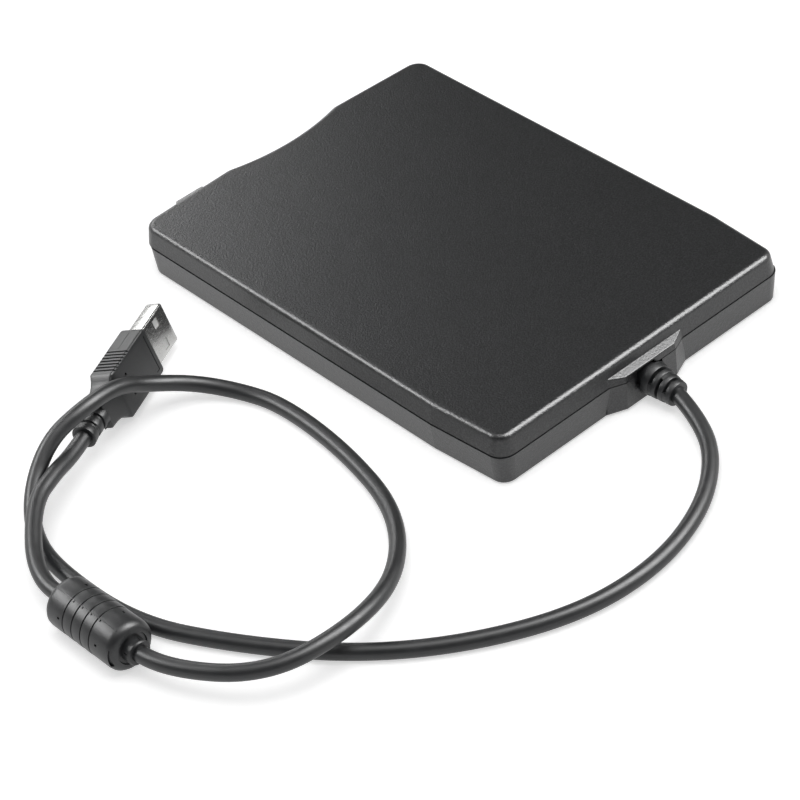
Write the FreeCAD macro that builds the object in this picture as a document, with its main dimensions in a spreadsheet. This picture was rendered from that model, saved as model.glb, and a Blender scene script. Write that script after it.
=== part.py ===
"""External floppy disk drive with a fixed cord, a ferrite and a USB plug.

Frame: millimetres, +Z up, the drive rests on z = 0, -Y is the front with the disk slot
and the eject button, +Y is the rear where the cord leaves, +X is the user's right.
The origin is under the middle of the drive without its cord.
"""
import FreeCAD, Part
import math
import os
import re
import Sketcher

# Driving dimensions, written to the sheet "Sizes" and read from there by every piece.
SIZES = {
    # case
    "case_width": 103.0, "case_height": 15.0, "front_reach": 67.4, "base_front": 66.4,
    "rear_reach": 73.3, "wing_sweep": 1.2, "taper_start": 49.3, "rear_half": 49.7,
    "corner_round": 4.6, "cavity_round": 3.0,
    "seam_height": 9.05, "seam_groove": 0.25, "groove_depth": 0.35, "seam_step": 0.25,
    "wall_lean": 10.1, "base_lean": 5.6, "top_round": 1.7, "base_round": 0.5,
    "scoop_half": 19.2, "scoop_radius": 65.1, "scoop_depth": 2.9, "scoop_round": 6.0,
    "boss_reach": 75.2, "boss_half": 8.8, "boss_foot_half": 14.0, "boss_shelf": 11.9, "boss_round": 0.8,
    "shelf_drop": 0.8, "shelf_round": 0.4,
    "case_wall": 1.5, "top_wall": 1.3, "floor_top": 1.6, "base_height": 0.4, "inner_front": 63.9,
    "window_half": 46.7, "window_low": 7.7, "window_high": 12.9, "fit_gap": 0.15,
    "lip_wall": 0.6, "lip_rise": 0.8, "lip_gap": 0.3, "post_round": 1.7,
    "screw_rear_x": 45.6, "screw_rear_y": 69.2, "screw_core": 0.7, "screw_head": 1.3,
    "foot_x": 41.0, "foot_y": 58.0, "foot_round": 4.5, "foot_thick": 0.8,
    "label_half_x": 24.0, "label_half_y": 14.0, "label_thick": 0.15,
    # drive frame and fascia
    "frame_half": 47.7, "frame_front": 62.2, "frame_rear": 65.4, "frame_low": 1.9,
    "sheet": 0.6, "frame_wall_top": 11.9, "frame_wall_rear": 30.0, "frame_ledge": 6.5,
    "fascia_half": 46.6, "fascia_thick": 1.6, "fascia_low": 2.9, "fascia_high": 13.4,
    "slot_half": 46.2, "slot_low": 8.0, "slot_high": 12.7,
    "lamp_left": 34.0, "lamp_width": 4.0, "lamp_low": 4.4, "lamp_tall": 1.8, "lamp_front": 66.0,
    # eject button and slider
    "button_left": 22.9, "button_right": 32.6, "button_low": 3.3, "button_high": 7.3,
    "button_reach": 76.0, "button_back": 66.0, "stem_inset": 1.6, "slider_front": 60.0,
    "slider_inner": 46.25, "slider_sheet": 0.5, "slider_low": 2.75, "slider_rear": 26.0,
    "slider_top": 11.9, "cross_depth": 4.0, "eject_travel": 4.5, "lift_travel": 1.6,
    "peg_radius": 0.8, "peg_front": 40.0, "peg_rear": 18.0, "peg_height": 8.6, "peg_gap": 0.15,
    # disk holder and door
    "holder_half": 46.0, "holder_sheet": 0.4, "holder_low": 6.4, "holder_lip_top": 6.75,
    "holder_ceiling": 10.95, "holder_front": 55.5, "holder_rear": 33.6, "lip_reach": 42.5,
    "head_notch": 9.5, "notch_front": 8.0,
    "door_half": 45.9, "door_front": 62.1, "door_sheet": 0.6, "door_low": 7.85,
    "hinge_back": 61.5, "hinge_height": 12.7, "pin_radius": 0.4, "barrel_radius": 0.72,
    # spindle motor
    "hub_back": 11.0, "board_top": 3.3, "bearing_radius": 3.5, "bearing_top": 5.3,
    "shaft_radius": 1.5, "shaft_top": 7.5, "stator_top": 4.9, "tooth_reach": 16.9,
    "coil_top": 5.3, "rotor_radius": 20.5, "rotor_low": 3.7, "rotor_top": 6.2, "rotor_sheet": 0.5,
    "magnet_inner": 17.6, "magnet_outer": 19.65, "hub_radius": 11.0, "hub_top": 6.7,
    "dog_orbit": 8.0, "dog_radius": 1.0, "run_gap": 0.05,
    # heads
    "rod_radius": 1.0, "rod_x": 9.0, "rod_height": 4.6, "rod_front": 10.4, "rod_rear": 54.6,
    "sled_half": 13.0, "sled_front": 27.0, "sled_rear": 52.4, "sled_low": 3.1, "sled_top": 6.3,
    "head_y": 28.5, "lower_head_top": 8.25, "upper_head_low": 8.65, "head_travel": 14.8,
    "arm_hinge_y": 50.0, "arm_hinge_z": 10.4, "arm_pin_radius": 0.5, "tower_half": 6.0,
    "tower_front": 48.4, "tower_rear": 51.6, "tower_top": 11.2, "arm_half": 3.6,
    # stepper
    "screw_x": 17.0, "screw_z": 5.5, "lead_radius": 0.9, "lead_front": 12.9, "lead_rear": 50.5,
    "step_radius": 3.7, "step_front": 50.5, "step_rear": 64.5,
    # latch lever
    "pivot_x": 36.0, "pivot_y": 43.0, "lever_low": 8.8, "lever_thick": 0.6,
    # boards
    "pcb_low": 3.0, "pcb_thick": 0.8,
    # rear strain relief
    "cord_radius": 2.15, "cord_height": 5.8, "boot_end": 83.6, "boot_radius": 4.7, "boot_tip": 3.4,
    # ferrite
    "ferrite_x": 150.0, "ferrite_y": 40.6, "ferrite_turn": 1.0, "ferrite_half": 12.6,
    "ferrite_radius": 6.7, "ferrite_collar": 3.3, "collar_length": 2.6, "core_half": 9.9,
    "core_radius": 5.2, "bore_radius": 2.45,
    # plug
    "plug_x": 96.8, "plug_y": 22.3, "plug_z": 7.83, "plug_heading": 206.57, "plug_lean": 16.0,
    "plug_length": 19.3, "plug_tall": 14.2, "plug_thick": 6.9, "plug_neck": 8.2, "plug_relief": 16.5,
    "shell_length": 12.4, "shell_tall": 12.0, "shell_thick": 4.5, "shell_wall": 0.35,
}

# Points of the cord's centre line, from the strain relief to the plug: out to the right,
# back to the left past the ferrite, over the plug's neck, round a loop, through the
# ferrite and up to the plug.
CORD_ROUTE = [
    (0.0, 83.6, 5.8), (2.4, 93.2, 5.1), (9.3, 105.0, 2.8), (24.8, 115.9, 2.15), (46.1, 121.6, 2.15),
    (69.5, 119.3, 2.15), (93.6, 107.1, 2.15), (114.0, 89.5, 2.15), (130.4, 65.8, 2.15),
    (141.7, 43.2, 2.15), (143.0, 14.1, 2.15), (139.3, -1.1, 2.15), (131.5, -11.0, 6.2),
    (121.2, -15.3, 13.2), (109.6, -14.7, 16.7), (98.1, -16.8, 15.2), (88.9, -17.7, 9.5),
    (77.9, -13.8, 5.0), (69.9, -4.7, 2.15), (66.1, 8.6, 2.15), (67.5, 34.0, 2.15), (74.0, 60.5, 2.3),
    (91.0, 80.5, 5.5), (112.9, 89.2, 9.8), (136.4, 85.7, 9.4), (149.61, 63.2, 6.7), (150.44, 15.5, 6.7),
    (136.5, -2.9, 9.4), (125.5, -8.3, 9.3), (118.36, -11.52, 7.83),
]

doc = FreeCAD.newDocument("FloppyDrive")
sheet = doc.addObject("Spreadsheet::Sheet", "Sizes")
for row, (alias, number) in enumerate(SIZES.items(), start=1):
    sheet.set(f"A{row}", alias)
    sheet.set(f"B{row}", str(number))
    sheet.setAlias(f"B{row}", alias)
doc.recompute()

PARTS = []


# ---------------------------------------------------------------- helpers

def cells(formula):
    """A formula of plain size names, written as references to the sheet."""
    return re.sub(r"[a-z_]+", lambda word: "Sizes." + word[0] if word[0] in SIZES else word[0],
                  str(formula))


def size(alias):
    return float(sheet.get(alias))


def keep(thing, label):
    """Give a finished piece its name and list it as one of the drive's sub-parts."""
    thing.Label = label
    PARTS.append(thing)
    return thing


def block(name, x, y, z):
    """A box between two formulas along each axis."""
    box = doc.addObject("Part::Box", name)
    for side, axis, (low, high) in (("Length", "x", x), ("Width", "y", y), ("Height", "z", z)):
        box.setExpression(side, cells(f"({high}) - ({low})"))
        box.setExpression("Placement.Base." + axis, cells(low))
    return box


TURNS = {
    "x": FreeCAD.Rotation(FreeCAD.Vector(0, 1, 0), 90),
    "y": FreeCAD.Rotation(FreeCAD.Vector(1, 0, 0), -90),
    "z": FreeCAD.Rotation(),
}


def rod(name, along, radius, start, length, kind="Part::Cylinder", end_radius=None):
    """A cylinder, or a cone with an end radius, from a start point along one axis."""
    round_bar = doc.addObject(kind, name)
    round_bar.Placement = FreeCAD.Placement(FreeCAD.Vector(), TURNS[along])
    round_bar.setExpression("Height", cells(length))
    if end_radius is None:
        round_bar.setExpression("Radius", cells(radius))
    else:
        round_bar.setExpression("Radius1", cells(radius))
        round_bar.setExpression("Radius2", cells(end_radius))
    for axis, formula in zip("xyz", start):
        round_bar.setExpression("Placement.Base." + axis, cells(formula))
    return round_bar


def cone(name, along, radius, end_radius, start, length):
    return rod(name, along, radius, start, length, "Part::Cone", end_radius)


def fuse(name, *pieces):
    union = doc.addObject("Part::MultiFuse", name)
    union.Shapes = list(pieces)
    return union


def cut(name, base, *tools):
    difference = doc.addObject("Part::Cut", name)
    difference.Base = base
    difference.Tool = tools[0] if len(tools) == 1 else fuse(name + "_tools", *tools)
    return difference


def group(name, *pieces):
    """Several alike solids that share one node."""
    compound = doc.addObject("Part::Compound", name)
    compound.Links = list(pieces)
    return compound


def soften(name, base, radius, test):
    """Round the edges of a primitive or boolean that pass a test."""
    doc.recompute()
    softened = doc.addObject("Part::Fillet", name)
    softened.Base = base
    softened.Edges = [(number, size(radius) if radius in SIZES else radius,
                       size(radius) if radius in SIZES else radius)
                      for number, edge in enumerate(base.Shape.Edges, start=1) if test(edge)]
    return softened


def shaped(name, shape):
    """A piece whose shape comes from Part's own functions."""
    feature = doc.addObject("Part::Feature", name)
    feature.Shape = shape
    return feature


def origin_plane(body, role):
    return [item for item in body.Origin.OriginFeatures if item.Role == role][0]


def profile(body, role, corners, lift="0"):
    """A closed sketch of straight sides whose corners follow formulas of the sheet."""
    sketch = body.newObject("Sketcher::SketchObject", "Profile")
    sketch.AttachmentSupport = [(origin_plane(body, role), "")]
    sketch.MapMode = "FlatFace"
    sketch.setExpression("AttachmentOffset.Base.z", cells(lift))
    count = len(corners)
    ring = [FreeCAD.Vector(10 * math.cos(math.tau * i / count), 10 * math.sin(math.tau * i / count))
            for i in range(count)]
    for i in range(count):
        sketch.addGeometry(Part.LineSegment(ring[i], ring[(i + 1) % count]))
    for i in range(count):
        sketch.addConstraint(Sketcher.Constraint("Coincident", i, 2, (i + 1) % count, 1))
    for i, (across, up) in enumerate(corners):
        for kind, formula in (("DistanceX", across), ("DistanceY", up)):
            number = sketch.addConstraint(Sketcher.Constraint(kind, -1, 1, i, 1, 1.0))
            sketch.setExpression(f"Constraints[{number}]", cells(formula))
    return sketch


def soft_corners(sketch, numbers, radius):
    """Replace some corners of a profile by tangent arcs of one radius."""
    doc.recompute()
    count = len(sketch.Geometry)
    for number in numbers:
        sketch.fillet((number - 1) % count, 2, size(radius), True, True)
    for number, item in enumerate(sketch.Geometry):
        if item.TypeId == "Part::GeomArcOfCircle":
            constraint = sketch.addConstraint(Sketcher.Constraint("Radius", number, item.Radius))
            sketch.setExpression(f"Constraints[{constraint}]", cells(radius))
    return sketch


def disc(body, role, centre, radius, lift="0"):
    """A sketch of one circle."""
    sketch = body.newObject("Sketcher::SketchObject", "Circle")
    sketch.AttachmentSupport = [(origin_plane(body, role), "")]
    sketch.MapMode = "FlatFace"
    sketch.setExpression("AttachmentOffset.Base.z", cells(lift))
    sketch.addGeometry(Part.Circle(FreeCAD.Vector(1, -2, 0), FreeCAD.Vector(0, 0, 1), 3))
    for constraint, formula in (
            (Sketcher.Constraint("DistanceX", -1, 1, 0, 3, 1.0), centre[0]),
            (Sketcher.Constraint("DistanceY", -1, 1, 0, 3, -2.0), centre[1]),
            (Sketcher.Constraint("Radius", 0, 3.0), radius)):
        number = sketch.addConstraint(constraint)
        sketch.setExpression(f"Constraints[{number}]", cells(formula))
    return sketch


def grow(kind, body, sketch, length, lean="0", backwards=False):
    """A pad or a pocket of a sketch, with an optional draft."""
    feature = body.newObject(kind, kind.split("::")[1])
    feature.Profile = sketch
    feature.Reversed = backwards
    feature.setExpression("Length", cells(length))
    feature.setExpression("TaperAngle", cells(lean))
    doc.recompute()
    return feature


def pad(body, sketch, length, lean="0", backwards=False):
    return grow("PartDesign::Pad", body, sketch, length, lean, backwards)


def pocket(body, sketch, length, lean="0", backwards=False):
    return grow("PartDesign::Pocket", body, sketch, length, lean, backwards)


def rounding(body, feature, radius, test):
    """Fillet the edges of the body's last feature that pass a test."""
    fillet = body.newObject("PartDesign::Fillet", "Fillet")
    fillet.Base = (feature, [f"Edge{number}" for number, edge in enumerate(feature.Shape.Edges, 1)
                             if test(edge)])
    fillet.setExpression("Radius", cells(radius))
    doc.recompute()
    return fillet


def rises(edge):
    """True for an edge that climbs from one level to another."""
    ends = [vertex.Point for vertex in edge.Vertexes]
    return len(ends) == 2 and abs(ends[0].z - ends[1].z) > 1.0


def lies_at(edge, height):
    return edge.BoundBox.ZLength < 0.01 and abs(edge.BoundBox.ZMin - height) < 0.01


def coil(name, radius, wire, pitch, length, base, turn):
    """A round-wire helical spring along its own z axis, placed at a base point."""
    helix = Part.makeHelix(pitch, length, radius)
    start = FreeCAD.Vector(radius, 0, 0)
    ring = Part.Wire(Part.makeCircle(wire, start, FreeCAD.Vector(0, 1, pitch / (math.tau * radius))))
    spring = Part.Wire(helix).makePipeShell([ring], True, True)
    feature = shaped(name, spring)
    feature.Placement = FreeCAD.Placement(FreeCAD.Vector(*base), turn)
    return feature


# ---------------------------------------------------------------- case

FRONT_CORNERS = (2, 7)
REAR_CORNERS = (4, 5)
NOSE_SPARE = 4


def outline(extra, front):
    """Corners of the case's plan, its sides grown by a formula and its front at another."""
    side = f"case_width/2 + {extra}"
    rear = f"rear_reach + {extra}"
    tail = f"rear_half + {extra}"
    return [("-scoop_half", f"-({front})"), ("scoop_half", f"-({front})"),
            (side, f"wing_sweep - ({front})"), (side, "taper_start"), (tail, rear),
            (f"-({tail})", rear), (f"-({side})", "taper_start"),
            (f"-({side})", f"wing_sweep - ({front})")]


def ahead_of(front):
    """Corners of all that lies in front of the case's upright front wall."""
    wide = "case_width/2 + 5"
    tip = f"wing_sweep*({wide} - scoop_half)/(case_width/2 - scoop_half) - ({front})"
    return [(f"-({wide})", f"-({front}) - 9"), (wide, f"-({front}) - 9"), (wide, tip),
            ("scoop_half", f"-({front})"), ("-scoop_half", f"-({front})"), (f"-({wide})", tip)]


def cavity(front):
    """Corners of the case's inner plan, whose front wall is at a formula of its own."""
    side = "case_width/2 - case_wall"
    tail = "rear_half - case_wall"
    rear = "rear_reach - case_wall"
    return [(f"-({side})", front), (side, front), (side, "taper_start"),
            (tail, rear), (f"-({tail})", rear), (f"-({side})", "taper_start")]


SHELF_SPAN = "(boss_reach + 1.9 - rear_reach) / (boss_reach + 0.15 - rear_reach)"


def boss_plan(inset="0"):
    """Corners of the bulge round the cord's exit, drawn in by a formula."""
    foot = f"boss_foot_half - {inset}"
    return [("-boss_foot_half", "rear_reach - 1.3"), ("boss_foot_half", "rear_reach - 1.3"),
            (foot, f"rear_reach - 0.3 - {inset}"), ("boss_half", f"boss_reach - {inset}"),
            ("-boss_half", f"boss_reach - {inset}"), (f"-({foot})", f"rear_reach - 0.3 - {inset}")]


def bottom_boss():
    """The bulge's lower half, with its outer lower edges softened."""
    body = doc.addObject("PartDesign::Body", "BottomBoss")
    bulge = pad(body, profile(body, "XY_Plane", boss_plan(), "base_height"), "seam_height - base_height")
    rounding(body, bulge, "boss_round", lambda edge: lies_at(edge, size("base_height"))
             and edge.BoundBox.YMax > size("rear_reach"))
    return body


def top_boss():
    """The bulge's upper half: leaning walls under a shelf that falls away to the rear."""
    body = doc.addObject("PartDesign::Body", "TopBoss")
    foot = "seam_height + seam_groove"
    plan = boss_plan()
    plan[:2] = [("-boss_foot_half", "rear_reach - 2.3"), ("boss_foot_half", "rear_reach - 2.3")]
    pad(body, profile(body, "XY_Plane", plan, foot), f"boss_shelf - ({foot})", "-wall_lean")
    inside = [("-boss_foot_half", "rear_reach - 3"), ("boss_foot_half", "rear_reach - 3"),
              ("boss_foot_half", "rear_reach - 1.3"), ("-boss_foot_half", "rear_reach - 1.3")]
    pocket(body, profile(body, "XY_Plane", inside, "boss_shelf"), f"boss_shelf - ({foot})")
    wall_top = "rear_reach - 0.9"
    above = [(wall_top, "boss_shelf"), ("boss_reach + 1", f"boss_shelf - shelf_drop * {SHELF_SPAN}"),
             ("boss_reach + 1", "boss_shelf + 1"), (wall_top, "boss_shelf + 1")]
    sloped = pocket(body, profile(body, "YZ_Plane", above, "boss_foot_half"), "2 * boss_foot_half")
    rounding(body, sloped, "shelf_round", lambda edge: edge.BoundBox.ZMin > size("boss_shelf") - 1.2
             and edge.BoundBox.YMax > size("rear_reach"))
    return body


def boss_rim():
    """The drawn-in band that shows in the groove between the two halves of the bulge."""
    body = doc.addObject("PartDesign::Body", "BossRim")
    pad(body, profile(body, "XY_Plane", boss_plan("groove_depth"), "seam_height"), "seam_groove + 0.05")
    return body


def is_scoop_kink(edge):
    first = edge.Vertexes[0]
    return rises(edge) and 12 < abs(first.X) < 25 and first.Y < -60


def is_front_corner(edge):
    first = edge.Vertexes[0]
    return rises(edge) and abs(first.X) > 45 and first.Y < -60


def hollow_out(body, front, depth, lean, backwards):
    """The case's inner space, with rounded corners."""
    plan = soft_corners(profile(body, "XY_Plane", cavity(front), "seam_height"), (0, 1, 3, 4),
                        "cavity_round")
    pocket(body, plan, depth, lean, backwards)


def top_shell():
    body = doc.addObject("PartDesign::Body", "TopShell")
    height = "case_height - seam_height - seam_groove"
    seam = "seam_height + seam_groove"
    plan = profile(body, "XY_Plane", outline("0", f"front_reach + {NOSE_SPARE}"), seam)
    pad(body, soft_corners(plan, REAR_CORNERS, "corner_round"), height, "-wall_lean")
    pocket(body, profile(body, "XY_Plane", ahead_of("front_reach"), seam), height, "0", True)
    scoop = disc(body, "XY_Plane", ("0", "scoop_depth - scoop_radius - front_reach"),
                 "scoop_radius", seam)
    scooped = pocket(body, scoop, height, "0", True)
    kinks = rounding(body, scooped, "scoop_round", is_scoop_kink)
    corners = rounding(body, kinks, "corner_round", is_front_corner)
    top = size("case_height")
    rounding(body, corners, "top_round", lambda edge: lies_at(edge, top))
    rim = profile(body, "XY_Plane", outline("-groove_depth", "base_front - groove_depth"), "seam_height")
    pad(body, soft_corners(rim, FRONT_CORNERS + REAR_CORNERS, "corner_round"), "seam_groove + 0.05")
    notch = disc(body, "XY_Plane", ("0", "scoop_depth - scoop_radius - front_reach"),
                 "scoop_radius + groove_depth", "seam_height")
    pocket(body, notch, "seam_groove", "0", True)
    hollow_out(body, "-inner_front - 0.8", "case_height - top_wall - seam_height", "-wall_lean", True)
    return body


def screw_spots():
    """Places of the two case screws as pairs of formulas."""
    return [("-screw_rear_x", "screw_rear_y"), ("screw_rear_x", "screw_rear_y")]


def top_cover():
    posts = [rod("TopPost", "z", "post_round", (x, y, "seam_height"), "case_height - 1 - seam_height")
             for x, y in screw_spots()]
    bulge = top_boss()
    whole = fuse("TopWithPosts", top_shell(), bulge, boss_rim(), *posts)
    window = block("TopWindow", ("-window_half", "window_half"), ("-front_reach - 2", "-inner_front + 1"),
                   ("seam_height - 1", "window_high"))
    arch = rod("TopArch", "y", "4", ("0", "rear_reach - 4", "cord_height + 0.2"), "8")
    bay = block("TopBay", ("-1.5", "7.6"), ("boss_reach - 1.1", "boss_reach + 1"),
                ("seam_height - 1", "boss_shelf - 1.4"))
    bores = [rod("TopBore", "z", "screw_core + run_gap", (x, y, "seam_height - 1"), "3.6")
             for x, y in screw_spots()]
    keep(cut("TopCover", whole, window, arch, bay, *bores), "top_cover")


def bottom_shell():
    body = doc.addObject("PartDesign::Body", "BottomShell")
    depth = "seam_height - base_height"
    plan = profile(body, "XY_Plane", outline("seam_step", f"base_front + {NOSE_SPARE}"), "seam_height")
    pad(body, soft_corners(plan, REAR_CORNERS, "corner_round"), depth, "-base_lean", True)
    pocket(body, profile(body, "XY_Plane", ahead_of("base_front"), "seam_height"), depth)
    scoop = disc(body, "XY_Plane", ("0", "scoop_depth - scoop_radius - front_reach"),
                 "scoop_radius", "seam_height")
    scooped = pocket(body, scoop, depth)
    kinks = rounding(body, scooped, "scoop_round", is_scoop_kink)
    corners = rounding(body, kinks, "corner_round", is_front_corner)
    low = size("base_height")
    rounding(body, corners, "base_round", lambda edge: lies_at(edge, low))
    hollow_out(body, "-inner_front - 0.7", "seam_height - floor_top", "-base_lean", False)
    return body


def bottom_cover():
    posts = [rod("BottomPost", "z", "post_round", (x, y, "base_height"), "seam_height - base_height")
             for x, y in screw_spots()]
    mounts = [rod("FrameMount", "z", "2.6", (x, y, "base_height + 0.4"), "frame_low - base_height - 0.4")
              for x, y in frame_spots()]
    lips = [block("SideLip", (low, high), ("-56", "44"), ("floor_top + 1", "seam_height + lip_rise"))
            for low, high in (("case_width/2 - case_wall - lip_gap - lip_wall",
                               "case_width/2 - case_wall - lip_gap"),
                              ("lip_gap + case_wall - case_width/2",
                               "lip_gap + case_wall + lip_wall - case_width/2"))]
    webs = [block("LipWeb", (low, high), ("-56", "44"), ("floor_top + 1", "seam_height - 0.6"))
            for low, high in (("case_width/2 - case_wall - lip_gap - 0.1", "case_width/2 - 1.2"),
                              ("1.2 - case_width/2", "lip_gap + case_wall + 0.1 - case_width/2"))]
    bulge = bottom_boss()
    whole = fuse("BottomWhole", bottom_shell(), bulge, *posts, *mounts, *lips, *webs)
    window = block("BottomWindow", ("-window_half", "window_half"),
                   ("-front_reach - 2", "-inner_front + 1"), ("window_low", "seam_height + 1"))
    button_hole = block("ButtonHole", ("button_left - fit_gap", "button_right + fit_gap"),
                        ("-front_reach - 2", "-inner_front + 1"),
                        ("button_low - fit_gap", "button_high + fit_gap"))
    lamp_hole = block("LampHole", ("-lamp_left", "lamp_width - lamp_left"),
                      ("-front_reach - 2", "-inner_front + 1"), ("lamp_low", "lamp_low + lamp_tall"))
    throat = block("CordThroat", ("-4", "4"), ("rear_reach - 4", "boss_reach + 1"),
                   ("cord_height", "seam_height + 1"))
    throat_round = rod("ThroatRound", "y", "4", ("0", "rear_reach - 4", "cord_height + 0.2"), "8")
    bay = block("BottomBay", ("3", "5.9"), ("boss_reach - 1.1", "boss_reach + 1"),
                ("cord_height - 0.6", "seam_height + 1"))
    bores = [rod("BottomBore", "z", "screw_core + 0.2", (x, y, "0"), "seam_height + 1")
             for x, y in screw_spots()]
    sinks = [rod("HeadSink", "z", "screw_head + 0.1", (x, y, "0"), "1.4") for x, y in screw_spots()]
    pits = [rod("FootPit", "z", "foot_round + 0.1", (x, y, "0"), "foot_thick")
            for x, y in foot_spots()]
    label_pit = block("LabelPit", ("-label_half_x - 0.2", "label_half_x + 0.2"),
                      ("-label_half_y - 0.2", "label_half_y + 0.2"), ("0", "base_height + 0.2"))
    frame_bores = [rod("FrameBore", "z", "0.9", (x, y, "base_height + 0.3"), "3") for x, y in frame_spots()]
    keep(cut("BottomCover", whole, window, button_hole, lamp_hole, throat, throat_round, bay,
             *bores, *sinks, *pits, label_pit, *frame_bores), "bottom_cover")


def foot_spots():
    return [(f"{side}*foot_x", f"{end}*foot_y") for side in (-1, 1) for end in (-1, 1)]


def frame_spots():
    return [("-26", "-46"), ("26", "-46"), ("-30", "28"), ("30", "28")]


def small_case_pieces():
    feet = [rod("Foot", "z", "foot_round", (x, y, "0"), "foot_thick") for x, y in foot_spots()]
    keep(group("RubberFeet", *feet), "rubber_feet")
    label = block("Label", ("-label_half_x", "label_half_x"), ("-label_half_y", "label_half_y"),
                  ("base_height + 0.2 - label_thick", "base_height + 0.2"))
    keep(label, "label_plate")
    screws = []
    for x, y in screw_spots():
        shank = rod("Shank", "z", "screw_core", (x, y, "1"), "10.4")
        head = rod("Head", "z", "screw_head", (x, y, "0.6"), "0.8")
        cross = block("Drive", (f"{x} - 0.2", f"{x} + 0.2"), (f"{y} - 0.8", f"{y} + 0.8"), ("0.4", "1.1"))
        bar = block("Bar", (f"{x} - 0.8", f"{x} + 0.8"), (f"{y} - 0.2", f"{y} + 0.2"), ("0.4", "1.1"))
        screws.append(cut("CaseScrew", fuse("ScrewWhole", shank, head), cross, bar))
    keep(group("CaseScrews", *screws), "case_screws")


def fascia():
    plate = block("FasciaPlate", ("-fascia_half", "fascia_half"),
                  ("-inner_front", "fascia_thick - inner_front"), ("fascia_low", "fascia_high"))
    lugs = [block("HingeLug", (low, high), ("fascia_thick - inner_front", "-60.4"),
                  ("hinge_height - 0.9", "fascia_high"))
            for low, high in (("door_half + 0.1", "fascia_half"), ("-fascia_half", "-door_half - 0.1"))]
    clips = [block("FrameClip", (f"{x} - 2", f"{x} + 2"), ("fascia_thick - inner_front", "-60.6"),
                   ("fascia_low", "fascia_low + 0.8")) for x in ("-38", "-12", "12", "38")]
    slot = block("Slot", ("-slot_half", "slot_half"), ("-inner_front - 1", "-inner_front + 3"),
                 ("slot_low", "slot_high"))
    button_hole = block("FasciaButtonHole", ("button_left - fit_gap", "button_right + fit_gap"),
                        ("-inner_front - 1", "-inner_front + 3"),
                        ("button_low - fit_gap", "button_high + fit_gap"))
    lamp_hole = block("FasciaLampHole", ("-lamp_left", "lamp_width - lamp_left"),
                      ("-inner_front - 1", "-inner_front + 3"), ("lamp_low", "lamp_low + lamp_tall"))
    pin_hole = rod("PinHole", "x", "pin_radius", ("-fascia_half - 1", "-hinge_back", "hinge_height"),
                   "2*fascia_half + 2")
    keep(cut("Fascia", fuse("FasciaWhole", plate, *lugs, *clips), slot, button_hole, lamp_hole,
             pin_hole), "front_bezel")
    lamp = block("Lamp", ("fit_gap - lamp_left", "lamp_width - lamp_left - fit_gap"),
                 ("-lamp_front", "-62"), ("lamp_low + fit_gap", "lamp_low + lamp_tall - fit_gap"))
    keep(soften("LampLens", lamp, 0.3, lambda edge: edge.BoundBox.YMax < -65), "led_lens")
    pin = rod("DoorPin", "x", "pin_radius", ("-fascia_half + 0.1", "-hinge_back", "hinge_height"),
              "2*fascia_half - 0.2")
    keep(pin, "slot_door_pin")


def slot_door():
    leaf = block("DoorLeaf", ("-door_half", "door_half"), ("-door_front", "door_sheet - door_front"),
                 ("door_low", "hinge_height"))
    barrel = rod("DoorBarrel", "x", "barrel_radius", ("-door_half", "-hinge_back", "hinge_height"),
                 "2*door_half")
    bore = rod("DoorBore", "x", "pin_radius + run_gap", ("-door_half - 1", "-hinge_back", "hinge_height"),
               "2*door_half + 2")
    spring_gap = block("SpringGap", ("38", "42"), ("-63", "-60"), ("11.8", "14"))
    keep(cut("SlotDoor", fuse("DoorWhole", leaf, barrel), bore, spring_gap), "slot_door")
    spring = coil("DoorSpring", 0.6, 0.11, 0.4, 3.2,
                  (38.4, -size("hinge_back"), size("hinge_height")), TURNS["x"])
    keep(spring, "slot_door_spring")


# ---------------------------------------------------------------- drive frame

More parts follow.
